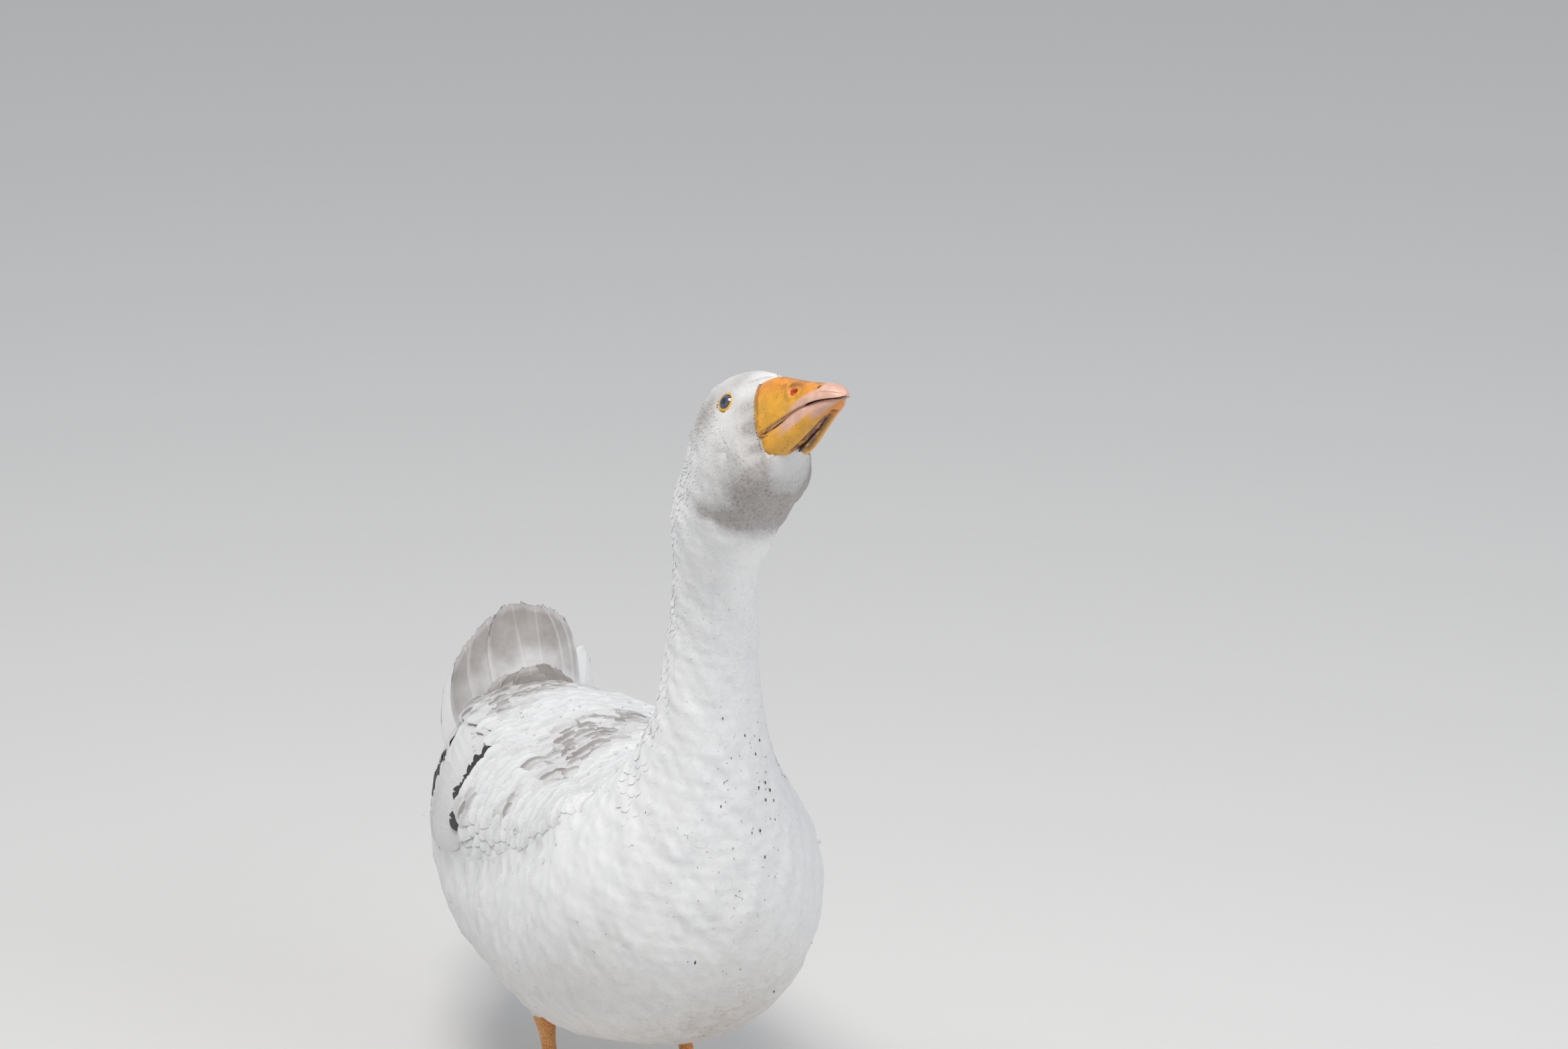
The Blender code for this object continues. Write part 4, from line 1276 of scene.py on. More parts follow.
# ---- markings
@dataclass(frozen=True)
class Markings:
    """Grey, soiled and shaded places of the plumage, the same for skin and coat. Part of the
    soil is painted shade: on the throat, which faces down, and in the crease where the head
    meets the neck.

    A row of back or of dirt and shade is a soft-edged marking: its place along the body,
    degrees round it, its reach both ways and its strength. A row of face is centimetres
    forward and up, reach, strength, and stretch along the line from the gape down and back.
    """
    back: tuple = ((0.262, -12.0, 0.058, 19.0, 0.8), (0.212, 14.0, 0.03, 12.0, 0.6),
                   (0.334, -32.0, 0.022, 7.0, 0.65), (0.3, -22.0, 0.02, 8.0, 0.45),
                   (0.272, -31.0, 0.009, 3.5, 1.0), (0.225, -60.0, 0.022, 8.0, 0.55),
                   (0.165, -78.0, 0.024, 6.0, 0.6), (0.285, 24.0, 0.04, 12.0, 0.5),
                   (0.18, 62.0, 0.05, 16.0, 0.6), (0.31, -50.0, 0.02, 7.0, 0.5),
                   (0.2, -38.0, 0.03, 12.0, 0.2), (0.02, 0.0, 0.06, 70.0, 1.0),
                   (0.1, -20.0, 0.03, 14.0, 0.25))
    # browner towards the underside of the belly and the right lower flank; the row at 0.885 is
    # painted shade in the crease where the head meets the neck
    dirt_and_shade: tuple = ((0.36, 180.0, 0.17, 42.0, 0.62), (0.2, 180.0, 0.16, 48.0, 0.62),
                   (0.47, 170.0, 0.05, 40.0, 0.3), (0.06, 180.0, 0.08, 60.0, 0.45),
                   (0.4, -120.0, 0.12, 20.0, 0.22), (0.885, 180.0, 0.016, 62.0, 0.42))
    # rows under the jaw are painted shade on the throat, which faces down, over its dirt; the
    # others are dirt by the bill and the eye and a faint soil on cheeks and crown
    face: tuple = ((1.75, -0.6, 0.75, 0.6, 1.0), (2.0, -2.1, 0.6, 1.0, 1.0),
                   (2.0, -3.6, 0.45, 0.6, 1.0), (1.3, -5.6, 0.45, 1.1, 3.2),
                   (-0.2, -7.0, 0.8, 1.2, 1.3), (-2.3, -7.3, 0.7, 1.2, 1.0),
                   (-3.5, -6.2, 0.7, 0.8, 1.0), (0.6, -3.2, 2.0, 0.3, 1.0),
                   (1.0, 1.7, 0.9, 0.4, 1.0), (-1.4, 0.2, 1.2, 0.55, 1.6),
                   (0.4, -6.2, 2.2, 0.5, 1.0), (-2.6, 0.2, 1.4, 0.3, 1.0))
    grey_gain: float = 1.5
    face_gain: float = 1.25
    shade_spread: float = 0.055
    head_shade: float = 0.15

    @staticmethod
    def on_body(rows: tuple, along: Array, degrees: Array) -> Array:
        """Summed strength of some markings at places on the body."""
        middle, round_it, reach, reach_round, strength = np.array(rows).T
        turn = (degrees[:, None] - round_it + 180.0) % 360.0 - 180.0
        return np.exp(-((along[:, None] - middle) / reach) ** 2
                      - (turn / reach_round) ** 2) @ strength

    def on_face(self, local: Array) -> Array:
        """Summed strength of the head's markings at points in its centimetres."""
        forward, up, reach, strength, slant = np.array(self.face).T
        df, du = local[:, 1:2] - forward, local[:, 2:3] - up
        onward, across = (df + du) * 0.707, (df - du) * 0.707
        return np.exp(-(across / reach) ** 2 - (onward / (reach * slant)) ** 2) @ strength

    def grey(self, along: Array, degrees: Array) -> Array:
        """Share of grey markings at places on the body."""
        return np.clip(self.on_body(self.back, along, degrees) * self.grey_gain, 0, 1)

    def soil_and_shade(self, along: Array, degrees: Array, points: Array) -> Array:
        """Share of dirt and painted shade at places on the body."""
        on_head = ramp(along, FORM.place["neck_top"], 0.02) * self.face_gain
        face = self.on_face(STANCE.head_local(points))
        return np.clip(self.on_body(self.dirt_and_shade, along, degrees) + on_head * face, 0, 1)

    def tone(self, along: Array, degrees: Array, points: Array, seed: int) -> Array:
        """Tone of each feather: grey, soil with painted shade, dark and shade, with chance from
        one to the next.

        Args:
            along: places along the body.
            degrees: angles round it.
            points: their places in space.
            seed: for the chance.

        Returns:
            Four values for each.
        """
        rng = np.random.default_rng(seed)
        n = len(along)
        grey = self.grey(along, degrees)
        grey = np.clip(grey * rng.uniform(0.35, 1.35, n) + (grey - 0.5) * 0.2, 0, 1)
        soil_and_shade = np.clip(self.soil_and_shade(along, degrees, points) * rng.uniform(0.86, 1.14, n), 0, 1)
        shade = (1.0 - self.shade_spread * rng.random(n) ** 1.5
                 - self.head_shade * ramp(along, FORM.place["neck_top"], 0.03))
        return packed(grey, soil_and_shade, 0.0, shade)


MARKS = Markings()


# ---- the skin
class ThighForm(Surface):
    """One feathered thigh as a tube from inside the body down to above the heel."""

    OUT = (0.058, 0.054)            # of the hip and the foot
    HIP_FORWARD = 0.004
    HEEL = (-0.052, 0.094)          # forward and height
    TOP = 0.182
    KNOTS = (0.0, 0.35, 0.65, 0.88, 1.0)
    DEEP = (0.034, 0.04, 0.026, 0.0135, 0.0108)
    WIDE = (0.024, 0.029, 0.021, 0.0115, 0.0092)

    def __init__(self, side: float, rings: int = 60, sides: int = 64) -> None:
        """Works out the thigh of one side: level ovals down a slanting line.

        Args:
            side: 1 for the left side, -1 for the right.
            rings: rings along the thigh.
            sides: points of a ring.
        """
        share = np.linspace(0, 1, rings)[:, None]
        height = self.TOP + (self.HEEL[1] + 0.0003 - self.TOP) * share
        lean = ease(share * 0.9 + 0.05) ** 1.1
        forward = self.HIP_FORWARD + (self.HEEL[0] - self.HIP_FORWARD) * lean
        out = side * (self.OUT[0] + (self.OUT[1] - self.OUT[0]) * share)
        deep, wide = (through(self.KNOTS, row, share[:, 0])[:, None]
                      for row in (self.DEEP, self.WIDE))
        turn = -circle(sides)
        grid = STANCE.world(out + wide * np.sin(turn), forward + deep * np.cos(turn), height)
        super().__init__(grid[::-1], 1.0 - share[::-1, 0])


class Skin:
    """One closed skin for trunk, wings, neck, head and thighs, under the coat's depth."""

    FLESH = ("trunk", "neck_lower", "neck_upper", "head", "wing_left", "wing_right",
             "thigh_left", "thigh_right")
    EVERY_RING, EVERY_SIDE = 2, 4
    THIGH_DEPTH = 0.0025
    SHADE = 0.97
    LAY = (0.5, 0.5, 0.01)

    def body(self) -> Shape:
        """The form drawn in by the depth of its coat, as one tube closed at both ends.

        Returns:
            The shape.
        """
        rings = np.unique(np.r_[0:FORM.count:self.EVERY_RING, FORM.count - 1])
        places = FORM.along[rings], np.arange(0, FORM.sides, self.EVERY_SIDE) / FORM.sides
        along, around = np.meshgrid(*places, indexing="ij")
        grid = FORM.points(along, around, -FORM.plumage(places[0])[2][:, None])
        flat = along.ravel(), FORM.degrees_of(along, around).ravel()
        tone = packed(MARKS.grey(*flat) * 0.8, MARKS.soil_and_shade(*flat, grid.reshape(-1, 3)), 0.0,
                      self.SHADE)
        shape = closed_tube(grid, tone.reshape(*along.shape, 4))
        shape.bake = ring_values(BAKE_EDGE + BAKE_SPAN * packed(around, along))
        return shape

    def thigh(self, side: float) -> Shape:
        """One thigh drawn in by its coat's depth, in its own corner of the bake map.

        Args:
            side: 1 for the left side, -1 for the right.

        Returns:
            The shape.
        """
        form = ThighForm(side)
        grid = form.grid - form.normal * self.THIGH_DEPTH
        shape = closed_tube(grid, (0.0, 0.25, 0.0, self.SHADE))
        u, v = np.meshgrid(*(np.linspace(0.0, 0.004, n) for n in grid.shape[:2]),
                           indexing="ij")
        shape.bake = ring_values(packed((0.988 if side > 0.0 else 0.993) + 0.8 * v, u))
        return shape

    def make(self, name: str, shape: Shape, finish: Material) -> bpy.types.Object:
        """Makes one skin piece, whose lay is the same all over."""
        shape.lay = np.tile(self.LAY, (len(shape.points), 1))
        return make_piece(name, shape, finish)

    def build(self, finish: Material) -> None:
        """Makes the skin: thighs are united with the body, so that one surface is left.

        Args:
            finish: its material.
        """
        skin = self.make("skin", self.body(), finish)
        thighs = [self.make("thigh_core_" + word, self.thigh(side), finish)
                  for word, side in SIDES]
        for thigh in thighs:
            cut = skin.modifiers.new(thigh.name, "BOOLEAN")
            cut.operation, cut.solver, cut.object = "UNION", "EXACT", thigh
        evaluated = skin.evaluated_get(bpy.context.evaluated_depsgraph_get())
        united = bpy.data.meshes.new_from_object(evaluated)
        skin.modifiers.clear()
        skin.data = united
        for thigh in thighs:
            bpy.data.objects.remove(thigh)
        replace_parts(skin, *self.FLESH)
        LOG.info("skin united: %d faces", len(united.polygons))


# ---- coats
def wing_share(along: Array, degrees: Array) -> tuple:
    """Share along and across the folded wing, by angle in degrees."""
    return FORM.wing_place(along, np.radians(np.abs(degrees)))


def off_wing(along: Array, degrees: Array, _: Array) -> Array:
    """True below and outside the folded wings, and away from the back."""
    return (wing_share(along, degrees)[1] > 0.77) | (along > FORM.place["breast"] + 0.03)


def on_back(along: Array, degrees: Array, _: Array) -> Array:
    """True on the back between the wings and just over their upper edges."""
    return (wing_share(along, degrees)[1] < 0.16) & (along <= FORM.place["breast"] + 0.045)


def on_coverts(along: Array, degrees: Array, _: Array) -> Array:
    """True on the front two thirds of the folded wings."""
    share, across = wing_share(along, degrees)
    return ((across > 0.04) & (across < 0.92) & (share < 0.638 - 0.15 * across)
            & (along <= FORM.place["breast"] + 0.04))


def on_face(along: Array, degrees: Array, points: Array) -> Array:
    """True where the head's plumage may root: off the eyes and behind the bill."""
    local = STANCE.head_local(points)
    behind = ease((EYE.centre[1] + 0.1 - local[..., 1]) / 0.4)
    return (EYE.oval_of(local) > 1.27 - 0.13 * behind) & BILL.feathered(local)


def edge_share(points: Array) -> Array:
    """How near the eye's rim and the bill's edge points are: 1 there, 0 further off."""
    local = STANCE.head_local(points)
    return np.maximum(fall(EYE.oval_of(local), 1.25, 0.45),
                      ramp(local[..., 1], BILL.feather_line - 0.55, 0.35))


@dataclass(frozen=True)
class CoatArea:
    """A stretch of the body's plumage that makes one piece."""
    name: str
    start: str              # cross-section where it begins, towards the tail
    end: str                # and where it ends, towards the bill
    vane: Vane
    finish: str
    slot: str
    size: float             # scale of the feathers
    lift: float             # how far tips stand over the form
    unruly: float           # turn of the lie from one feather to the next
    keep: Optional[Callable] = None     # which roots stay, by along, degrees and points
    rooted: float = 0.7     # how deep in the coat they root
    uneven: float = 0.0005  # height of the coat's soft unevenness
    stray: float = 0.0      # share of feathers that stand out
    stand: float = 0.0      # how far they do, in shares of their length
    pile: float = 0.0       # more of it towards the rear, where they overlie the quills


TUFT = Vane(3, 3, 0.05, 0.2, 0.6, 0.5, 0.15)
PLUME = Vane(4, 3, 0.03, 0.2, 0.55, 0.5, 0.25)
COVERT = Vane(6, 5, 0.03, 0.24, 0.45, 0.6, 0.1, soft=0.7, sink=0.006)


@dataclass
class Coat:
    """The body's small feathers, laid from head to tail in several pieces."""
    areas: tuple = (
        CoatArea("coat_face", "skull", "front", TUFT, "head", "feathers_head", 0.98, 0.0002,
                 0.18, on_face, 0.35, 0.00012),
        CoatArea("coat_head", "nape", "skull", TUFT, "head", "feathers_head", 0.94, 0.0003,
                 0.16, on_face, 0.4, 0.0005, 0.1, 0.07),
        CoatArea("coat_neck_upper", "neck_mid", "nape", PLUME, "head", "feathers_neck", 1.0,
                 0.0003, 0.16, None, 0.5, 0.00055, 0.25, 0.1),
        CoatArea("coat_neck_lower", "neck_root", "neck_mid",
                 replace(PLUME, crown=0.025, ragged=0.2), "neck", "feathers_neck", 1.0,
                 0.0003, 0.14, None, 0.5, 0.00055, 0.15, 0.06),
        CoatArea("coat_breast", "fore", "neck_root", Vane(5, 5, 0.02, 0.2, 0.55, 0.5, 0.12),
                 "body", "feathers_body", 0.85, 0.0003, 0.1, off_wing),
        CoatArea("coat_flanks", "rump_end", "fore", Vane(6, 5, 0.02, 0.2, 0.5, 0.5, 0.12),
                 "body", "feathers_body", 0.95, 0.0005, 0.1, off_wing),
        CoatArea("coat_back", "rump_end", "neck_root", COVERT, "coverts", "feathers_body",
                 0.78, 0.0006, 0.12, on_back, 0.9, 0.0004, pile=0.006),
        CoatArea("wing_coverts", "rump_end", "neck_root",
                 replace(COVERT, rows=7, cols=7, crown=0.035, ragged=0.08), "coverts",
                 "feathers_wing", 0.75, 0.0008, 0.1, on_coverts, 0.9, 0.0004, pile=0.0064))
    seed: int = 11

    def flock(self, area: CoatArea, span: tuple, seed: int) -> Flock:
        """Roots and sizes of one area's feathers.

        Args:
            area: the area's sizes.
            span: lowest and highest place along the body.
            seed: for the chance.

        Returns:
            The feathers.
        """
        def size(along: Array) -> tuple:
            """Feather length and width in this area."""
            length, width, _ = FORM.plumage(along)
            return length * area.size, width * area.size

        along, around = spread_places(FORM, span, size, seed)
        points = FORM.points(along, around, 0.0)
        degrees = FORM.degrees_of(along, around)
        if area.keep is not None:
            keep = area.keep(along, degrees, points)
            along, around, points, degrees = (a[keep] for a in (along, around, points, degrees))
        rng = np.random.default_rng(seed + 1)
        n = len(along)
        length, width = size(along)
        depth = FORM.plumage(along)[2]
        stray = (rng.random(n) < area.stray) * rng.uniform(0.3, 1.0, n)
        pace = np.linalg.norm(FORM.read(FORM.slope_along, along, around), axis=-1)
        seen = np.clip(along - 0.7 * length / pace, 0, 1)
        tone = MARKS.tone(seen, degrees, FORM.points(seen, around, 0.0), seed + 2)
        deep = depth * area.rooted
        if area.keep is on_face:
            deep = deep * (1.0 - 0.85 * edge_share(points))
        fade = area.pile * fall(wing_share(along, degrees)[1], 0.66, 0.26)
        pile, pile_tip = (fade * FORM.pile(u) for u in (along, along - length / pace))
        upper = 0.35 + 1.5 * ease((105.0 - np.abs(degrees)) / 35.0)
        stand = area.stand * length * stray * upper
        return Flock(along, around, length * rng.uniform(0.88, 1.12, n),
                     width * rng.uniform(0.95, 1.2, n), pile - deep * rng.uniform(0.9, 1.0, n),
                     area.lift + depth * rng.uniform(-0.014, 0.014, n) + pile_tip + stand,
                     rng.normal(0.0, area.unruly, n), rng.normal(0.0, 0.05, n), tone,
                     rise=pile_tip - pile + stand)

    def build(self, finishes: dict) -> None:
        """Makes every area's piece.

        Args:
            finishes: the materials by finish.
        """
        for k, area in enumerate(self.areas):
            seed, span = self.seed + 10 * k, (FORM.place[area.start], FORM.place[area.end])
            shape = lay_feathers(FORM, self.flock(area, span, seed), area.vane, seed + 5, span,
                                 area.uneven)
            make_piece(area.name, shape, finishes[area.finish])


# ---- bill, mouth and eyes
def pipe(line: Array, wide: Array, tall: Array, sides: int,
         tone: Optional[Array] = None) -> Shape:
    """A closed roll along a bent line, of ovals square to it.

    Args:
        line: points of the line.
        wide: half width at each.
        tall: half height at each.
        sides: points of a ring.
        tone: four values for all of it.

    Returns:
        The shape.
    """
    run = unit(np.gradient(line, axis=0))
    beside = unit(np.cross(run, (0.0, 0.0, 1.0)))
    above = np.cross(beside, run)
    turn = circle(sides)[:, None]
    return closed_tube(line[:, None] + np.cos(turn) * (beside * wide[:, None])[:, None]
                       + np.sin(turn) * (above * tall[:, None])[:, None], tone)


@dataclass(frozen=True)
class Nostril:
    """An oval opening in the bill's side: places in centimetres forward and degrees round."""
    forward: float = 5.93
    degrees: float = 54.0
    reach: float = 0.42
    reach_degrees: float = 10.0
    slant: float = 4.0          # degrees lower for each centimetre forward
    depth: float = 0.3
    rim: float = 0.06

    def oval(self, forward: Array, degrees: Array) -> Array:
        """Oval distance from its middle, 1 at the edge."""
        onward = forward - self.forward
        lower = np.abs(degrees) - self.degrees + self.slant * onward
        return np.hypot(onward / self.reach, lower / self.reach_degrees)


@dataclass
class Bill:
    """Both halves of the bill with nostrils, nail, comb and tongue, in the head's frame."""
    shape: BillShape = BILL
    nostril: Nostril = Nostril()
    rings: int = 150
    over: int = 85
    under: int = 25
    tip_rings: int = 14
    tip_round: float = 0.36
    nail_from: float = 8.25
    nail_degrees: float = 60.0
    palate: float = 0.35        # hollow of the palate
    floor: float = 0.25         # hollow of the lower half's inner side
    channel: float = 0.3       # hollow between the two branches of the lower half
    comb_span: tuple = (2.95, 7.0)
    comb_pitch: float = 0.105

    def rows(self, table: tuple, forward: Array) -> Array:
        """Top, edge or bottom, and half width at places forward, each as a column."""
        return self.shape.rows(table, forward)[:, :, None]

    def half(self, table: tuple, start: float, beyond: float, middle: float, sense: float,
             surface: Callable, inner: Callable, inner_tone: tuple) -> Shape:
        """One half of the bill: an outer arch and an inner side, rounded off at the tip.

        The last sections shrink towards a middle height as a quarter circle does.

        Args:
            table: rows of its sections.
            start: where it begins, in centimetres forward.
            beyond: how far it reaches past its last row.
            middle: share from its first height to its second that the tip closes on.
            sense: 1 if the arch runs towards the left, -1 if towards the right.
            surface: gives out, up and tone of the arch from forward, section and angle.
            inner: gives the inner side's height from forward, section, share across and end.
            inner_tone: four values of the inner side.

        Returns:
            The shape.
        """
        end = table[-1][0] + beyond
        quarter = np.sin(np.linspace(0.08, 1.0, self.tip_rings) * math.pi / 2)
        f = np.r_[np.linspace(start, end - self.tip_round, self.rings - self.tip_rings),
                  end - self.tip_round * (1.0 - quarter)]
        section = self.rows(table, f)
        f = f[:, None]
        back = np.clip((f - (end - self.tip_round)) / self.tip_round, 0, 1)
        scale = np.sqrt(np.maximum(1.0 - back**2, 0.004))
        out, up, tone = surface(f, section,
                                sense * np.linspace(-0.5, 0.5, self.over) * math.pi)
        x = sense * np.linspace(1.0, -1.0, self.under + 2)[1:-1]
        out = np.concatenate([out, section[2] * 0.97 * x], 1) * scale
        up = np.concatenate([up, inner(f, section, x, end)], 1)
        centre = section[0] + (section[1] - section[0]) * middle
        up = centre + (up - centre) * scale
        tone = np.concatenate([tone, np.tile(inner_tone, (len(f), self.under, 1))], 1)
        return closed_tube(STANCE.head_world(out, f, up), tone)

    def arch(self, forward: Array, section: Array, phi: Array) -> tuple:
        """The upper half's arch with lip, groove, nostrils and nail, and its tone.

        Args:
            forward: places forward in the head's centimetres.
            section: top, edge and half width at these places.
            phi: angles across the section.

        Returns:
            Out, up and tone of the points.
        """
        top, edge, half = section
        degrees = np.abs(np.degrees(phi))
        side = degrees / 90.0
        oval = self.nostril.oval(forward, degrees)
        nail = (ramp(forward, self.nail_from, 0.22)
                * fall(degrees, self.nail_degrees, 10.0))
        relief = (0.055 * ramp(side, 0.8, 0.09) * fall(forward, 8.0, 0.8)
                  - 0.035 * bell(side, 0.735, 0.05) * ramp(forward, 3.2, 0.8)
                  * fall(forward, 7.0, 1.0)
                  - self.nostril.depth * fall(oval, 0.5, 0.45)
                  + self.nostril.rim * bell(oval, 1.22, 0.3)
                  + 0.075 * nail - 0.088 * nail * (1.0 - nail)
                  + 0.03 * bell(degrees, 0.0, 16.0) * ramp(forward, 6.4, 1.0))
        out = (half + relief) * np.sin(phi)
        up = edge + (top - edge) * np.cos(phi) ** self.shape.arch + relief * np.cos(phi)
        bound = 1.0 - 0.04 * (forward - 3.4) - 0.045 * np.maximum(forward - 5.5, 0.0) ** 1.9
        pink = np.maximum(ramp(side, bound - 0.06, 0.14) * ramp(forward, 4.0, 3.0),
                          ramp(forward, 7.9, 0.8))
        red = fall(oval, 0.72, 0.3)
        root = (0.8 * bell(forward, 2.5, 0.22) + 0.72 * bell(side, 0.0, 0.22)
                * ramp(forward, 3.2, 1.0) * fall(forward, 7.6, 0.8))
        brown = highest(bell(forward, 5.7, 1.2) * bell(degrees, 34.0, 19.0),
                        0.495 * bell(oval, 1.9, 0.55), root,
                        3.2 * bell(forward, 8.1, 0.12) * bell(degrees, 36.0, 11.0), 0.24)
        yellow = ramp(side, 0.35, 0.4) * fall(forward, 6.0, 2.0)
        return out, up, packed(pink, brown * (1.0 - red), red, yellow)

    def hollow(self, forward: Array) -> Array:
        """How far the channel under the lower half is there at places forward, 0 to 1."""
        return ramp(forward, 3.2, 0.8) * fall(forward, 7.9, 0.7)

    def keel(self, forward: Array, section: Array, phi: Array) -> tuple:
        """The lower half's two branches with the channel between them, and their tone, with
        painted shade in the channel.

        Args:
            forward: places forward in the head's centimetres.
            section: top, edge and half width at these places.
            phi: angles across the section.

        Returns:
            Out, up and tone of the points.
        """
        top, bottom, half = section
        share, side = np.sin(phi), np.abs(np.degrees(phi)) / 90.0
        width = 0.6 - 0.04 * (forward - 4.0)
        reach = self.hollow(forward)
        pit = reach * fall(np.abs(share), width - 0.22, 0.24)
        out = (half + 0.03 * bell(np.abs(share), 0.99, 0.05)) * share
        up = top - (top - bottom) * np.cos(phi) ** self.shape.keel + self.channel * pit
        pink = np.maximum(ramp(side, 0.82, 0.12) * ramp(forward, 3.2, 2.4),
                          ramp(forward, 6.3, 1.6) * ramp(side, 0.35, 0.3))
        stripe = bell(share, 0.1, 0.16) * ramp(forward, 3.6, 0.5)
        # the brown in the channel (pit and stripe) is painted shade in that hollow
        brown = highest(pit * 1.3, stripe * 1.6 * reach, 0.3 * bell(side, 0.7, 0.06),
                        0.5 * bell(forward, 2.7, 0.3), 0.2)
        return out, up, packed(pink * (1.0 - pit), brown, 0.0, fall(forward, 6.5, 1.5))

    def upper(self) -> Shape:
        """The upper half over a hollow palate.

        Returns:
            The shape.
        """
        def roof(forward: Array, section: Array, x: Array, end: float) -> Array:
            """Height of the palate."""
            near_tip = np.minimum(1.0, end - forward)
            return section[1] + self.palate * (1.0 - np.abs(x) ** 4) * near_tip
        return self.half(self.shape.upper, 2.25, 0.04, 0.65, 1.0, self.arch, roof,
                         (0.8, 0.4, 0.0, 0.0))

    def lower(self) -> Shape:
        """The lower half under the tongue's place.

        Returns:
            The shape.
        """
        def bed(forward: Array, section: Array, x: Array, end: float) -> Array:
            """Height of the mouth's floor."""
            near_tip = np.minimum(1.0, end - forward)
            return section[0] - self.floor * (1.0 - np.abs(x) ** 4) * near_tip
        return self.half(self.shape.lower, 2.45, 0.02, 0.4, -1.0, self.keel, bed,
                         (0.6, 0.5, 0.0, 0.0))

    def comb(self, side: float) -> Shape:
        """Fine plates along the upper cutting edge: a strip whose ridges are sine waves, browner
        between them as painted shade.

        Args:
            side: 1 for the left side, -1 for the right.

        Returns:
            The shape.
        """
        first, last = self.comb_span
        f = np.linspace(first, last, 420)[:, None]
        _, edge, half = self.rows(self.shape.upper, f)
        turn = circle(10)
        ridge = 0.5 + 0.5 * np.cos(math.tau * f / self.comb_pitch)
        ends = ramp(f, first, 0.3) * ease((last - f) / 0.8)
        tall = (0.1 + 0.075 * ridge) * ends + 0.02
        out = side * (half - 0.085 + (0.03 + 0.04 * ridge) * np.cos(turn))
        up = edge + 0.02 - tall * np.sin(turn) * np.where(np.sin(turn) > 0.0, 1.0, 0.6)
        # browner where the ridge is low: painted shade between the plates
        return closed_tube(STANCE.head_world(out, f, up),
                           packed(0.75, 0.62 - 0.42 * ridge, 0.0, 0.3))

    def gape(self, side: float) -> Shape:
        """The wrinkled corner of the mouth: a small roll bent like a C, with cross folds.

        Args:
            side: 1 for the left side, -1 for the right.

        Returns:
            The shape.
        """
        s = np.linspace(-1.0, 1.0, 90)
        forward = 2.42 + 0.78 * s**2
        out = side * (self.shape.rows(self.shape.upper, forward)[2] - 0.01)
        line = STANCE.head_world(out, forward, -2.86 + 0.16 * s + 0.05 * s**3)
        radius = 0.135 * (1.0 - 0.72 * s**2) * (1.0 + 0.16 * np.cos(26.0 * s)) * CM
        return pipe(line, radius, radius, 18, (0.25, 0.85, 0.0, 0.2))

    def channel_shade(self) -> Shape:
        """A dark ragged streak along the channel under the lower half: painted shade in that
        hollow.

        Returns:
            The shape.
        """
        s = np.linspace(0, 1, 60)
        f = 7.1 - 3.2 * s
        up = (self.shape.rows(self.shape.lower, f)[1] + self.channel * self.hollow(f) - 0.02
              - 0.12 * s**3)
        line = STANCE.head_world(0.18 + 0.08 * np.sin(5.0 * s) - 0.1 * s, f, up)
        wide = (0.04 + 0.21 * s**1.5 + 0.022 * np.sin(37.0 * s) + 0.016 * np.sin(91.0 * s)) * CM
        return pipe(line, wide, wide * 0.3, 14)

    def tongue(self) -> Shape:
        """A dark body that fills the mouth between the two halves.

        Returns:
            The shape.
        """
        f = np.linspace(2.3, 8.5, 40)[:, None]
        _, edge, half = self.rows(self.shape.upper, f)
        turn = circle(32)
        high, low = edge + 0.16, self.rows(self.shape.lower, f)[0] - 0.1
        close = np.sqrt(np.clip((8.55 - f) / 0.9, 0, 1))
        return closed_tube(STANCE.head_world(
            0.8 * half * np.sin(turn) * close, f,
            (high + low) / 2.0 + (high - low) / 2.0 * np.cos(turn)))

    def build(self, horn: Material) -> None:
        """Makes all the bill's pieces.

        Args:
            horn: the bill's material.
        """
        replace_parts(make_piece("bill_upper_horn", self.upper(), horn), "bill_upper")
        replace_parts(make_piece("bill_lower_horn", self.lower(), horn), "bill_lower")
        for name, part in (("bill_comb", self.comb), ("gape_folds", self.gape)):
            make_piece(name, together([part(1.0), part(-1.0)]), horn)
        mouth = PlainFinish("mouth_lining", (0.13, 0.035, 0.025), (0.22, 0.075, 0.05), 200.0,
                            0.4, 0.0002)
        make_piece("tongue", self.tongue(), mouth.build())
        # painted shade: the near-black streak in the channel under the lower half
        mud = PlainFinish("painted_channel_shade", (0.018, 0.012, 0.01), (0.06, 0.036, 0.022), 600.0, 0.5,
                          0.0003)
        make_piece("chin_channel_shade", self.channel_shade(), mud.build())


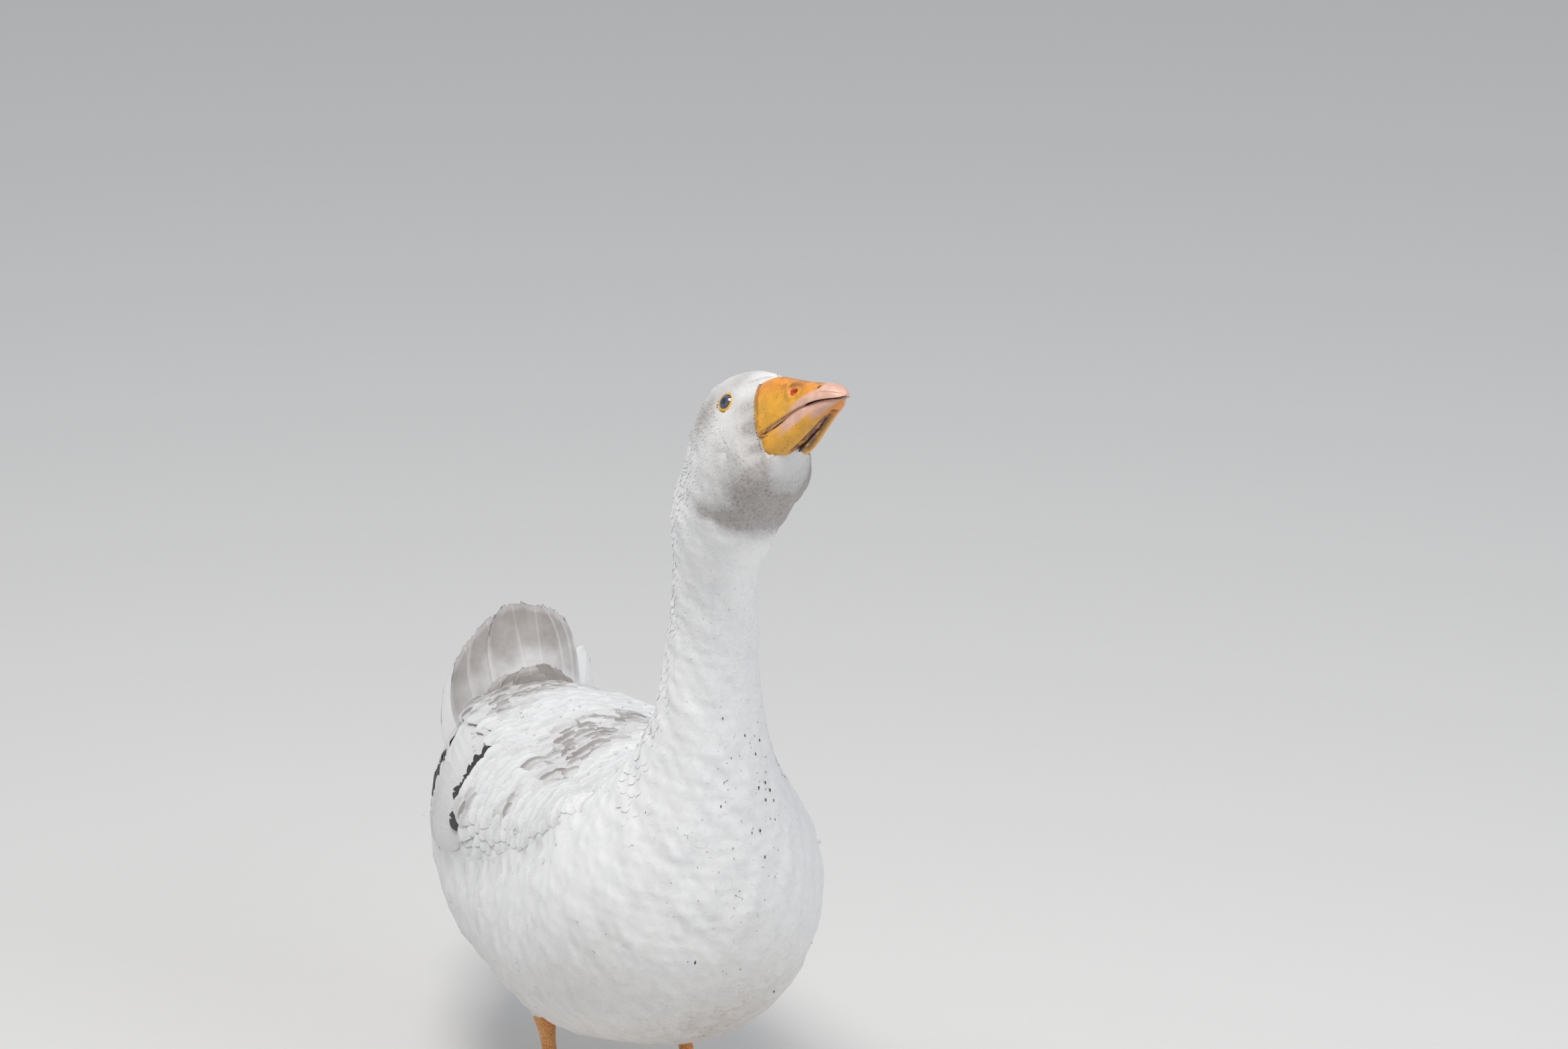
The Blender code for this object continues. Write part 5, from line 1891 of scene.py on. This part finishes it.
@dataclass
class Eyes:
    """Eyeballs with a slightly domed front, and the swollen orange rims of the lids."""
    shape: EyeShape = EYE
    dome: float = 0.035
    dome_reach: float = 0.55

    def world(self, grid: Array, side: float) -> Array:
        """World points from the eye's own axes in centimetres."""
        out, forward, up = np.moveaxis(grid @ self.shape.frame() + self.shape.centre, -1, 0)
        return STANCE.head_world(side * out, forward, up)

    def ball(self, side: float) -> Shape:
        """A ball whose rings run round its axis, domed over the pupil.

        Args:
            side: 1 for the left side, -1 for the right.

        Returns:
            The shape.
        """
        polar, turn = np.linspace(0.03, math.pi - 0.03, 60)[:, None], circle(56)
        radius = self.shape.radius * (1.0 + self.dome * bell(polar, 0.0, self.dome_reach))
        flat = radius * np.sin(polar)
        grid = packed(flat * np.cos(turn), flat * np.sin(turn), radius * np.cos(polar))
        ring = np.where(polar < 1.5, flat / self.shape.half_wide, 2.0)
        return closed_tube(self.world(grid, side), packed(ring, turn / math.tau, 0.0, 0.0))

    def lid(self, side: float) -> Shape:
        """The lids' rim: a roll carried round the oval opening on the eyeball.

        Args:
            side: 1 for the left side, -1 for the right.

        Returns:
            The shape.
        """
        turn, angle = circle(96), circle(14)[:, None]
        point = 1.0 + 0.07 * bell(turn, 0.5, 0.5)
        x = self.shape.half_wide * np.cos(turn) * point
        y = self.shape.half_tall * np.sin(turn) * point
        out = unit(packed(x, y, np.sqrt(self.shape.radius**2 - x**2 - y**2)))
        beside = np.cross(unit(np.roll(out, -1, 0) - np.roll(out, 1, 0)), out)
        r = (self.shape.lid * (1.0 + 0.05 * np.sin(turn * 17.0)))[:, None, None]
        grid = (out * self.shape.radius)[:, None] + r * (
            0.5 * np.cos(angle) * out[:, None] + 1.05 * np.sin(angle) * beside[:, None])
        count, sides = grid.shape[:2]
        i, j = np.arange(count)[:, None], np.arange(sides)
        k, m = (i + 1) % count, (j + 1) % sides
        quads = packed(i * sides + j, k * sides + j, k * sides + m, i * sides + m)
        return Shape(self.world(grid, side).reshape(-1, 3), [quads.reshape(-1, 4)]).outward()

    def build(self, lid: Material) -> None:
        """Makes both eyes and both rims.

        Args:
            lid: the lids' material.
        """
        gloss = EyeFinish().build()
        for word, side in SIDES:
            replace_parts(make_piece("eyeball_" + word, self.ball(side), gloss),
                        "eye_" + word)
            make_piece("eyelids_" + word, self.lid(side), lid)


# ---- legs and feet
@dataclass
class Legs:
    """Scaly shanks, webbed feet with the small hind toe, and claws."""
    foot_out: float = 0.054
    foot_forward: float = -0.022
    heel: tuple = ThighForm.HEEL
    ankle: float = 0.0165
    toe_out: float = math.radians(6.0)
    toe_lengths: tuple = (0.064, 0.081, 0.074)
    toe_angles: tuple = tuple(math.radians(a) for a in (-29.0, 0.0, 27.0))
    toe_half: float = 0.0052
    toe_height: float = 0.0105
    web: float = 0.0022
    rim: float = 0.0006         # height that the foot's edge thins to
    claw: float = 0.011
    scute: float = 0.0034       # from one cross scale to the next along a toe

    def shank(self, side: float) -> Shape:
        """A slanting shaft of level ovals from the knobby heel, with broad front scales.

        Args:
            side: 1 for the left side, -1 for the right.

        Returns:
            The shape.
        """
        share, turn = np.linspace(0, 1, 110)[:, None], circle(40)
        height = self.heel[1] + (self.ankle - 0.002 - self.heel[1]) * share
        forward = self.heel[0] + (self.foot_forward - self.heel[0]) * share
        knob, foot = bell(share, 0.0, 0.16), bell(share, 1.0, 0.18)
        scale = (0.00022 * ramp(np.cos(turn), 0.2, 0.5)
                 * np.abs(np.sin(share * 26.0 * math.pi)) ** 0.6)
        deep = 0.0068 + 0.0042 * knob + 0.002 * foot + scale
        wide = 0.0052 + 0.0034 * knob + 0.003 * foot + scale
        return closed_tube(STANCE.world(side * self.foot_out + wide * np.sin(turn),
                                        forward + deep * np.cos(turn), height))

    def on_foot(self, side: float, onward: Array, beside: Array, height: Array) -> Array:
        """World points from distances along and outwards of the middle toe."""
        c, s = math.cos(self.toe_out), math.sin(self.toe_out)
        return STANCE.world(side * (self.foot_out + onward * s + beside * c),
                            self.foot_forward + onward * c - beside * s, height)

    def lines(self) -> Array:
        """Rows of angle, offset, length and height: four over each toe, two over a web.

        Returns:
            The rows.
        """
        rows = []
        for i, (length, angle) in enumerate(zip(self.toe_lengths, self.toe_angles)):
            for share, height in ((-1.0, self.web), (-0.45, self.toe_height),
                                  (0.45, self.toe_height), (1.0, self.web)):
                rows.append((angle, share * self.toe_half, length - 0.002 * abs(share), height))
            if i < 2:
                reach = 0.5 * (length + self.toe_lengths[i + 1])
                for share in (0.33, 0.67):
                    between = angle + (self.toe_angles[i + 1] - angle) * share
                    dip = 1.0 - 0.2 * math.sin(math.pi * share)
                    rows.append((between, 0.0, reach * dip, self.web))
        return np.array(rows)

    def foot(self, side: float) -> Shape:
        """The webbed foot: lines over toes and webs, smoothed across, flat underneath.

        Args:
            side: 1 for the left side, -1 for the right.

        Returns:
            The shape.
        """
        rows = self.lines()
        knots = np.arange(len(rows), dtype=float)
        rows = through(knots, rows, np.linspace(0.0, knots[-1], 150))
        angle, offset, length, height = rows.T[:, :, None]
        height = np.clip(height, self.web * 0.8, self.toe_height)
        r, rank = np.linspace(-0.11, 1.0, 84), np.linspace(-1.0, 1.0, len(rows))[:, None]
        reach, fan = length * r, 0.3 + 0.7 * ramp(r, 0.0, 0.3)
        beside = (np.sin(angle) * np.maximum(reach, 0.0) + np.cos(angle) * offset * fan
                  + 0.0085 * rank * fall(r, -0.11, 0.4))
        onward = np.cos(angle) * reach - np.sin(angle) * offset * fan
        knob = (self.ankle - self.rim) * bell(reach, 0.0, 0.013) * (1.0 - 0.35 * rank**2)
        toe = height * (1.0 - 0.3 * np.clip(r, 0, 1) ** 3)
        ridge = (height - self.web) / (self.toe_height - self.web)
        scales = 0.0004 * ridge * np.abs(np.sin(reach * math.pi / self.scute)) ** 0.5
        top = np.maximum(toe * (0.9 + 0.1 * ramp(r, 0.05, 0.1)), knob) + scales
        edge = np.sqrt(np.clip((1.0 - np.abs(rank)) / 0.03, 0, 1)
                       * np.clip((1.0 - r) / 0.03, 0, 1))
        top = self.rim + (top - self.rim) * np.maximum(edge, 0.25)
        points = [self.on_foot(side, onward, beside, h).reshape(-1, 3) for h in (top, 0.0)]
        return Shape(np.concatenate(points), Vane(*top.shape, thick=1.0).faces(1)).outward()

    def hallux(self, side: float) -> Shape:
        """The small hind toe, low at the back on the inner side.

        Args:
            side: 1 for the left side, -1 for the right.

        Returns:
            The shape.
        """
        s = np.linspace(0, 1, 24)
        line = STANCE.world(side * (self.foot_out - 0.004 - 0.006 * s),
                            self.foot_forward - 0.0085 - 0.021 * s, 0.0135 - 0.0085 * s)
        half = (0.0041 - 0.001 * s) * np.sqrt(np.clip((1.04 - s) / 0.2, 0.05, 1.0))
        return pipe(line, half, half, 20)

    def claws(self, side: float) -> Shape:
        """The four claws of one foot: hooked cones.

        Args:
            side: 1 for the left side, -1 for the right.

        Returns:
            The shape.
        """
        s = np.linspace(0, 1, 14)
        lines = []
        for length, angle in zip(self.toe_lengths, self.toe_angles):
            along = length - 0.0015 + (self.claw + 0.001) * s
            lines.append(self.on_foot(side, np.cos(angle) * along, np.sin(angle) * along,
                                      0.0042 - 0.0027 * s**2))
        lines.append(STANCE.world(side * (self.foot_out - 0.0101 - 0.002 * s),
                                  self.foot_forward - 0.0288 - 0.0076 * s,
                                  0.005 - 0.0027 * s))
        sizes = [half * (1.0 - s) ** 0.7 + 0.00025 for half in (0.003,) * 3 + (0.0024,)]
        return together([pipe(line, size, size * 0.85, 14) for line, size in zip(lines, sizes)])

    def build(self) -> None:
        """Makes both legs and their claws."""
        skin = LegFinish().build()
        horn = PlainFinish("claw_horn", (0.23, 0.17, 0.12), (0.42, 0.32, 0.23), 300.0, 0.38,
                           0.00008).build()
        for word, side in SIDES:
            whole = together([self.shank(side), self.foot(side), self.hallux(side)])
            leg = make_piece("leg_" + word, whole, skin)
            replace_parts(leg, "shank_" + word, "foot_" + word, "hallux_" + word)
            claws = make_piece("claws_" + word, self.claws(side), horn)
            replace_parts(claws, *("claw_%s_%s" % (word, toe)
                                 for toe in ("inner", "middle", "outer", "hallux")))


# ---- thighs, wings and tail
@dataclass
class ThighCoat:
    """Small soft feathers down both thighs."""
    length: float = 0.013
    width: float = 0.009
    depth: float = 0.0024
    span: tuple = (0.02, 0.8)
    vane: Vane = Vane(4, 3, 0.05, 0.18, 0.5, 0.5, 0.2)

    def size(self, along: Array) -> tuple:
        """Length and width of feathers, which shrink towards the heel."""
        scale = 0.55 + 0.45 * ease(along / 0.6)
        return self.length * scale, self.width * scale

    def build(self, finish: Material) -> None:
        """Makes one piece for both thighs; each keeps its own half of the bake map.

        Args:
            finish: its material.
        """
        shapes = []
        for k, (_, side) in enumerate(SIDES):
            form = ThighForm(side)
            along, around = spread_places(form, self.span, self.size, 301 + k)
            rng = np.random.default_rng(311 + k)
            n = len(along)
            along = np.clip(along + rng.normal(0.0, 0.014, n), *self.span)
            length, width = self.size(along)
            shade = 1.0 - 0.06 * rng.random(n)
            tone = packed(0.0, rng.uniform(0.1, 0.5, n), 0.0, shade)
            flock = Flock(along, around, length * rng.uniform(0.9, 1.1, n), width,
                          np.full(n, -0.4 * self.depth), rng.uniform(-0.0002, 0.0004, n),
                          rng.normal(0.0, 0.25, n), np.zeros(n), tone)
            shape = lay_feathers(form, flock, self.vane, 321 + k, uneven=0.0004)
            shape.bake = shape.bake * [0.49, 1.0] + [0.5 * k, 0.0]
            shapes.append(shape)
        make_piece("coat_thighs", together(shapes), finish)


def cells_for(rows: Sequence, tall: float = 3.0) -> list:
    """Gives each feather of some rows its own cell of the bake map.

    Args:
        rows: layers of feathers, each with a count.
        tall: how many times a cell is taller than it is wide.

    Returns:
        For each row, the corner and size of its feathers' cells.
    """
    ends = np.cumsum([row.count for row in rows])
    across = math.ceil(math.sqrt(ends[-1] * tall))
    down = math.ceil(ends[-1] / across)
    k = np.arange(ends[-1])
    cells = packed((k % across) / across, (k // across) / down, 1.0 / across, 1.0 / down)
    return np.split(cells, ends[:-1])


def edge_places(share: Array, across: Array, side: float) -> tuple:
    """Places along and round the body of shares along and across a folded wing."""
    along, upper, lower = through(FORM.wing[:, 0], FORM.wing[:, 1:], share).T
    degrees = np.degrees(upper * (1.0 - across) + lower * across)
    return along, FORM.around_of(along, side * degrees)


@dataclass(frozen=True)
class QuillRow:
    """One layer of long wing feathers, from the back (0) to the lower edge (1)."""
    count: int
    root: tuple             # share along the wing of the first and last root
    tip: tuple              # and of their tips
    across_root: tuple
    across_tip: tuple
    width: float
    height: tuple           # of roots and tips over the body
    grey: tuple
    dark: float
    ragged: float


@dataclass
class WingQuills:
    """Long feathers of the folded wings: dark primaries under white secondaries."""
    rows: tuple = (
        QuillRow(8, (0.44, 0.56), (0.85, 0.8), (0.66, 0.8), (0.7, 0.82), 0.018,
                 (0.0002, 0.0014), (0.0, 0.0), 0.97, 0.06),
        QuillRow(9, (0.42, 0.5), (0.97, 0.76), (0.1, 0.72), (0.06, 0.88), 0.033,
                 (0.0003, 0.0022), (0.05, 0.45), 0.0, 0.08),
        QuillRow(6, (0.36, 0.44), (0.86, 0.7), (0.02, 0.5), (0.02, 0.56), 0.034,
                 (0.0004, 0.0024), (0.3, 0.2), 0.0, 0.06),
        QuillRow(14, (0.5, 0.46), (0.705, 0.615), (0.22, 0.68), (0.21, 0.69), 0.016,
                 (0.0006, 0.004), (0.0, 0.0), 0.98, 0.16))
    vane: Vane = Vane(26, 9, 0.028, 0.12, 0.4, 0.45, 0.05, 4.0, 0.8, 0.006, 0.0, 3.0, 0.0004)
    seed: int = 401

    def layer(self, row: QuillRow, side: float, seed: int, cells: Array) -> Flock:
        """One layer of one wing.

        Args:
            row: the layer's sizes.
            side: 1 for the left side, -1 for the right.
            seed: for the chance.
            cells: corner and size of each feather's cell on the bake map.

        Returns:
            The layer's feathers.
        """
        rng = np.random.default_rng(seed)
        n = row.count
        k = np.linspace(0, 1, n)

        def run(ends: tuple, loose: float) -> Array:
            """Even steps from the first to the last value, with a little chance."""
            return ends[0] + (ends[1] - ends[0]) * k + rng.normal(0.0, loose, n)

        root = edge_places(run(row.root, 0.004), run(row.across_root, 0.008), side)
        goal = edge_places(np.clip(run(row.tip, 0.01), 0.0, 0.995),
                           run(row.across_tip, 0.012), side)
        gap = np.linalg.norm(FORM.points(*root, 0.0) - FORM.points(*goal, 0.0), axis=1)
        grey = np.clip(run(row.grey, 0.05), 0, 1)
        tone = packed(grey, 0.04, row.dark, 1.0 - 0.05 * rng.random(n))
        order = 0.001 * (1.0 - k)
        return Flock(*root, gap, np.full(n, row.width), row.height[0] + order,
                     row.height[1] + order, np.zeros(n),
                     rng.normal(0.0, 0.012, n) + side * 0.02, tone, cells, packed(*goal))

    def build(self, finish: Material) -> None:
        """Makes one piece for each wing.

        Args:
            finish: its material.
        """
        for s, (word, side) in enumerate(SIDES):
            shapes = []
            for r, (row, cells) in enumerate(zip(self.rows, cells_for(self.rows))):
                seed = self.seed + 20 * s + r
                vane = replace(self.vane, ragged=row.ragged)
                flock = self.layer(row, side, seed, cells)
                shapes.append(lay_feathers(FORM, flock, vane, seed + 7))
            make_piece("wing_quills_" + word, together(shapes), finish)


@dataclass(frozen=True)
class FanRow:
    """One layer of feathers on the tail's fan."""
    places: tuple           # from the right edge (-1) to the left (1)
    start: float            # reach of roots and tips, 1 at the end of the fan
    end: float
    width: float | tuple    # one value, or one for each feather
    lift: float             # height over the fan's middle surface
    grey: float | tuple     # one value, or one for each feather
    face: float = 1.0       # -1 lies beneath the fan
    ragged: float = 0.02
    dark: float = 0.0

    @property
    def count(self) -> int:
        """How many feathers there are."""
        return len(self.places)


@dataclass
class Tail:
    """The cocked fan: eight large feathers with coverts over and under their roots."""
    root: tuple = (-0.172, 0.248)
    length: float = 0.128
    pitch: float = math.radians(40.0)
    yaw: float = math.radians(9.0)
    spread: float = math.radians(17.0)
    half_root: float = 0.034
    arch: float = 0.044
    curl: float = 0.012
    lean: float = 0.8          # how much narrower the left half is than the right
    rows: tuple = (
        FanRow((-0.97, -0.72, -0.42, -0.12, 0.14, 0.36, 0.5, 0.98), 0.0, 1.0,
               (0.05, 0.052, 0.052, 0.052, 0.05, 0.046, 0.042, 0.03), 0.0,
               (0.3, 0.85, 0.9, 1.0, 0.95, 0.9, 0.8, 0.0), 1.0, 0.022),
        FanRow((-0.96, -0.72, -0.5, -0.28, -0.06, 0.16, 0.38, 0.6, 0.82), -0.1, 0.58, 0.036,
               0.003, (0.6, 1.0, 0.9, 1.3, 1.0, 1.5, 1.2, 1.3, 0.8), 1.0, 0.02, 0.02),
        FanRow((-0.84, -0.6, -0.38, -0.16, 0.06, 0.28, 0.5, 0.72), -0.2, 0.52, 0.036,
               0.0046, (1.2, 1.5, 1.1, 1.6, 1.3, 1.6, 1.3, 1.0), 1.0, 0.015, 0.05),
        FanRow((-0.92, -0.7, -0.48, -0.26, -0.04, 0.18, 0.4, 0.62, 0.84), -0.3, 0.46, 0.036,
               0.006, (1.2, 1.5, 1.5, 1.2, 1.6, 1.3, 1.6, 1.4, 1.0), 1.0, 0.015),
        FanRow((-0.92, -0.7, -0.46, -0.24, 0.0, 0.24, 0.46, 0.7, 0.92), -0.3, 0.62, 0.036,
               0.003, 0.0, -1.0),
        FanRow((-0.84, -0.58, -0.34, -0.12, 0.12, 0.34, 0.58, 0.84), -0.45, 0.44, 0.036,
               0.0062, 0.0, -1.0))
    vane: Vane = Vane(24, 13, 0.035, 0.3, 0.42, 0.5, 0.06, 5.0, thick=0.0005)

    def fan(self, reach: Array, across: Array, lift: Array) -> Array:
        """World points of the fan: feathers spread from a line of roots, arched like a roof.

        Args:
            reach: from the roots (0) to the tips (1).
            across: from the right edge (-1) to the left (1).
            lift: height over the fan's middle surface.

        Returns:
            World points.
        """
        level = math.cos(self.pitch)
        axis = np.array([math.sin(self.yaw) * level, math.cos(self.yaw) * level,
                         math.sin(self.pitch)])
        beside = np.array([math.cos(self.yaw), -math.sin(self.yaw), 0.0])
        length = self.length * (1.0 - 0.26 * across**2) * reach
        across = across * (1.0 + (self.lean - 1.0) * ramp(across, 0.0, 0.4))
        angle = self.spread * across
        up = lift - self.arch * across**2 * (0.35 + 0.65 * reach) + self.curl * reach**2
        move = packed(np.cos(angle) * length, self.half_root * across + np.sin(angle) * length,
                      up)
        return STANCE.world(0.0, *self.root) + move @ np.stack(
            [axis, beside, np.cross(beside, axis)])

    def layer(self, row: FanRow, seed: int, cells: Array) -> Shape:
        """One layer: each feather's edges tilt so that it lies under its inner neighbour.

        Args:
            row: the layer's sizes.
            seed: for the chance.
            cells: corner and size of each feather's cell on the bake map.

        Returns:
            The shape.
        """
        rng = np.random.default_rng(seed)
        n, vane = row.count, self.vane
        t, c = vane.shares
        place, wide, grey = (np.broadcast_to(v, n)[:, None] for v in (
            row.places, row.width, row.grey))
        span = row.end - row.start
        cut = vane.cut(rng, n, row.ragged, 0.6)
        reach = row.start + span * t * (1.0 - cut) * rng.uniform(0.97, 1.0, (n, 1))
        girth = self.half_root + self.spread * self.length * np.maximum(reach, 0.0)
        across = place + 0.5 * wide * c * vane.spread(t) / girth
        stack = 0.0022 * (1.0 - np.abs(place)) + 0.0009 * c * np.sign(place + 1e-6)
        arch = vane.crown * wide * (1.0 - c * c) * vane.spread(t) * 0.35
        shaft = 0.0005 * bell(c, 0.0, 0.1) * (1.0 - t)
        lift = row.face * (row.lift + arch + shaft) + stack
        sides = [self.fan(reach, across, lift - row.face * down) for down in (0.0, vane.thick)]
        grey = grey * (1.0 - (place < -0.9) * ease(-c / 0.3)) + 0.0 * t
        tone = packed(grey, 0.03, row.dark * grey, 1.0 - 0.05 * rng.random((n, 1)))
        return vane.dressed(sides, tone, np.full((n, 1), self.length * span), cells).outward()

    def build(self, finish: Material) -> None:
        """Makes the fan and its coverts as one piece."""
        shapes = [self.layer(row, 501 + k, cells)
                  for k, (row, cells) in enumerate(zip(self.rows, cells_for(self.rows)))]
        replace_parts(make_piece("tail_fan", together(shapes), finish), "tail")


# ---- drops and specks
@dataclass
class Beads:
    """Rounded lumps that sit on the coat: drops of water on the back, mud on the breast."""
    drops: int = 170
    specks: int = 150
    pile: float = 0.0062
    seed: int = 601

    def scattered(self, along: Array, degrees: Array, size: Array, form: tuple,
                  height: Array) -> Shape:
        """Copies of one rounded lump on the coat.

        Args:
            along: places along the body.
            degrees: angles round it.
            size: half width of each.
            form: half length, width and height as shares of that.
            height: how high each sits over the form.

        Returns:
            One shape of them all.
        """
        around = FORM.around_of(along, degrees)
        polar, turn = np.linspace(0.25, math.pi - 0.25, 6)[:, None], circle(10)
        ball = closed_tube(form * packed(np.sin(polar) * np.cos(turn),
                                         np.sin(polar) * np.sin(turn), np.cos(polar)))
        up = FORM.read(FORM.normal, along, around)
        onward = unit(FORM.read(FORM.slope_along, along, around))
        axes = np.stack([onward, np.cross(up, onward), up], 1) * size[:, None, None]
        points = FORM.points(along, around, height)[:, None] + ball.points @ axes
        return Shape(points.reshape(-1, 3),
                     copied(ball.faces, len(along), len(ball.points))).outward()

    def build(self) -> None:
        """Makes the drops and the specks."""
        rng = np.random.default_rng(self.seed)
        n = self.drops
        along, degrees = rng.uniform(0.12, 0.6, n), rng.normal(0.0, 34.0, n)
        size = 0.0006 + 0.0012 * rng.random(n) ** 3
        height = self.pile * FORM.pile(along) + 0.0008 + 0.4 * size
        shape = self.scattered(along, degrees, size, (1.0, 1.0, 0.75), height)
        make_piece("water_drops", shape, WaterFinish().build())
        n = self.specks
        along = np.where(rng.uniform(0, 1, n) < 0.75, rng.normal(0.615, 0.04, n),
                         rng.uniform(0.25, 0.55, n))
        degrees = 172.0 + rng.normal(0.0, 34.0, n)
        size = 0.0003 + 0.0007 * rng.random(n) ** 3
        shape = self.scattered(along, degrees, size, (1.7, 0.8, 0.5), 0.0004)
        mud = PlainFinish("dried_mud", (0.1, 0.055, 0.035), (0.2, 0.13, 0.085), 900.0, 0.8,
                          0.0002)
        make_piece("mud_specks", shape, mud.build())


# ---- studio
@dataclass(frozen=True)
class Studio:
    """Floor, lights and camera."""
    azimuth: float = math.radians(-24.0)
    elevation: float = math.radians(20.0)
    distance: float = 3.6
    anchor: tuple = (0.0, -0.1355, 0.454)
    aside: float = 0.05186
    above: float = 0.07767
    lens: float = 118.926
    sensor: float = 36.0
    lit: tuple = (0.0, 0.0, 0.35)
    floor_half: float = 30.0
    floor_colour: Colour = (0.8, 0.785, 0.765)
    floor_second: Colour = (0.72, 0.71, 0.7)
    sky: Colour = (0.9, 0.94, 1.0)
    sky_strength: float = 0.5

    def axes(self) -> tuple:
        """Directions to the camera's right, up and back to it."""
        a, e = self.azimuth, self.elevation
        back = Vector((math.sin(a) * math.cos(e), -math.cos(a) * math.cos(e), math.sin(e)))
        right = Vector((math.cos(a), math.sin(a), 0.0))
        return right, back.cross(right), back

    @staticmethod
    def aimed(place: Vector, way: Vector) -> Matrix:
        """The placing of a light or camera that looks back along a way."""
        return Matrix.Translation(place) @ (-way).to_track_quat("-Z", "Y").to_matrix().to_4x4()

    def camera(self) -> None:
        """Sets the camera, moved sideways in its own plane and looking at the goose."""
        right, up, back = self.axes()
        data = bpy.data.cameras.new("camera")
        data.lens, data.sensor_width = self.lens, self.sensor
        made = placed("camera", data)
        place = Vector(self.anchor) + back * self.distance + right * self.aside + up * self.above
        made.matrix_world = self.aimed(place, back)
        bpy.context.scene.camera = made

    def light(self, name: str, aim: tuple, distance: float, size: float, power: float,
              colour: Colour) -> None:
        """Adds a soft square light.

        Args:
            name: its name.
            aim: its direction from the goose as shares right, up and back to the camera.
            distance: how far away it stands.
            size: length of its sides.
            power: in watts.
            colour: its tint.
        """
        way = sum((axis * share for axis, share in zip(self.axes(), aim)), Vector()).normalized()
        data = bpy.data.lights.new(name, "AREA")
        data.shape, data.size, data.energy, data.color = "SQUARE", size, power, colour
        placed(name, data).matrix_world = self.aimed(Vector(self.lit) + way * distance, way)

    def build(self) -> None:
        """Makes floor, lights, sky and camera."""
        bench = Bench("floor")
        tint = bench.mix(bench.noise(30.0, 3.0) * 0.15, self.floor_colour, self.floor_second)
        h = self.floor_half
        mesh = bpy.data.meshes.new("floor")
        mesh.from_pydata([(-h, -h, 0.0), (h, -h, 0.0), (h, h, 0.0), (-h, h, 0.0)], [],
                         [(0, 1, 2, 3)])
        mesh.materials.append(bench.finish(Base_Color=tint, Roughness=0.85))
        placed("floor", mesh)
        world = bpy.data.worlds.new("sky")
        world.use_nodes = True
        ground = world.node_tree.nodes["Background"]
        ground.inputs["Color"].default_value = (*self.sky, 1.0)
        ground.inputs["Strength"].default_value = self.sky_strength
        bpy.context.scene.world = world
        bpy.context.scene.view_settings.view_transform = "Standard"
        self.light("key", (-0.22, 1.2, 0.95), 2.6, 0.9, 43.0, (1.0, 0.98, 0.945))
        self.light("fill", (1.0, 0.35, 0.8), 3.0, 1.8, 17.0, (0.92, 0.96, 1.0))
        self.camera()


# ---- all together
def main() -> None:
    """Builds every piece in order."""
    logging.basicConfig(level=logging.INFO, format="%(message)s")
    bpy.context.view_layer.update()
    finishes = {
        "head": FeatherFinish("feathers_head", barb=0.0004, relief=0.00008,
                              grey=(0.25, 0.22, 0.21), soil_and_shade=(0.37, 0.325, 0.3)).build(),
        "neck": FeatherFinish("feathers_neck", barb=0.0005).build(),
        "body": FeatherFinish("feathers_body").build(),
        "coverts": FeatherFinish("feathers_coverts", Pattern.CRESCENT).build(),
        "fan": FeatherFinish("feathers_fan", Pattern.FAN).build(),
        "bill": BillFinish().build(),
        "lid": PlainFinish("lid_skin", (0.86, 0.4, 0.012), (0.88, 0.52, 0.03), 500.0, 0.42,
                           0.00015).build(),
    }
    Studio().build()
    Skin().build(finishes["body"])
    Coat().build(finishes)
    ThighCoat().build(finishes["body"])
    WingQuills().build(finishes["fan"])
    Tail().build(finishes["fan"])
    Bill().build(finishes["bill"])
    Eyes().build(finishes["lid"])
    Legs().build()
    Beads().build()


if __name__ == "__main__":
    main()
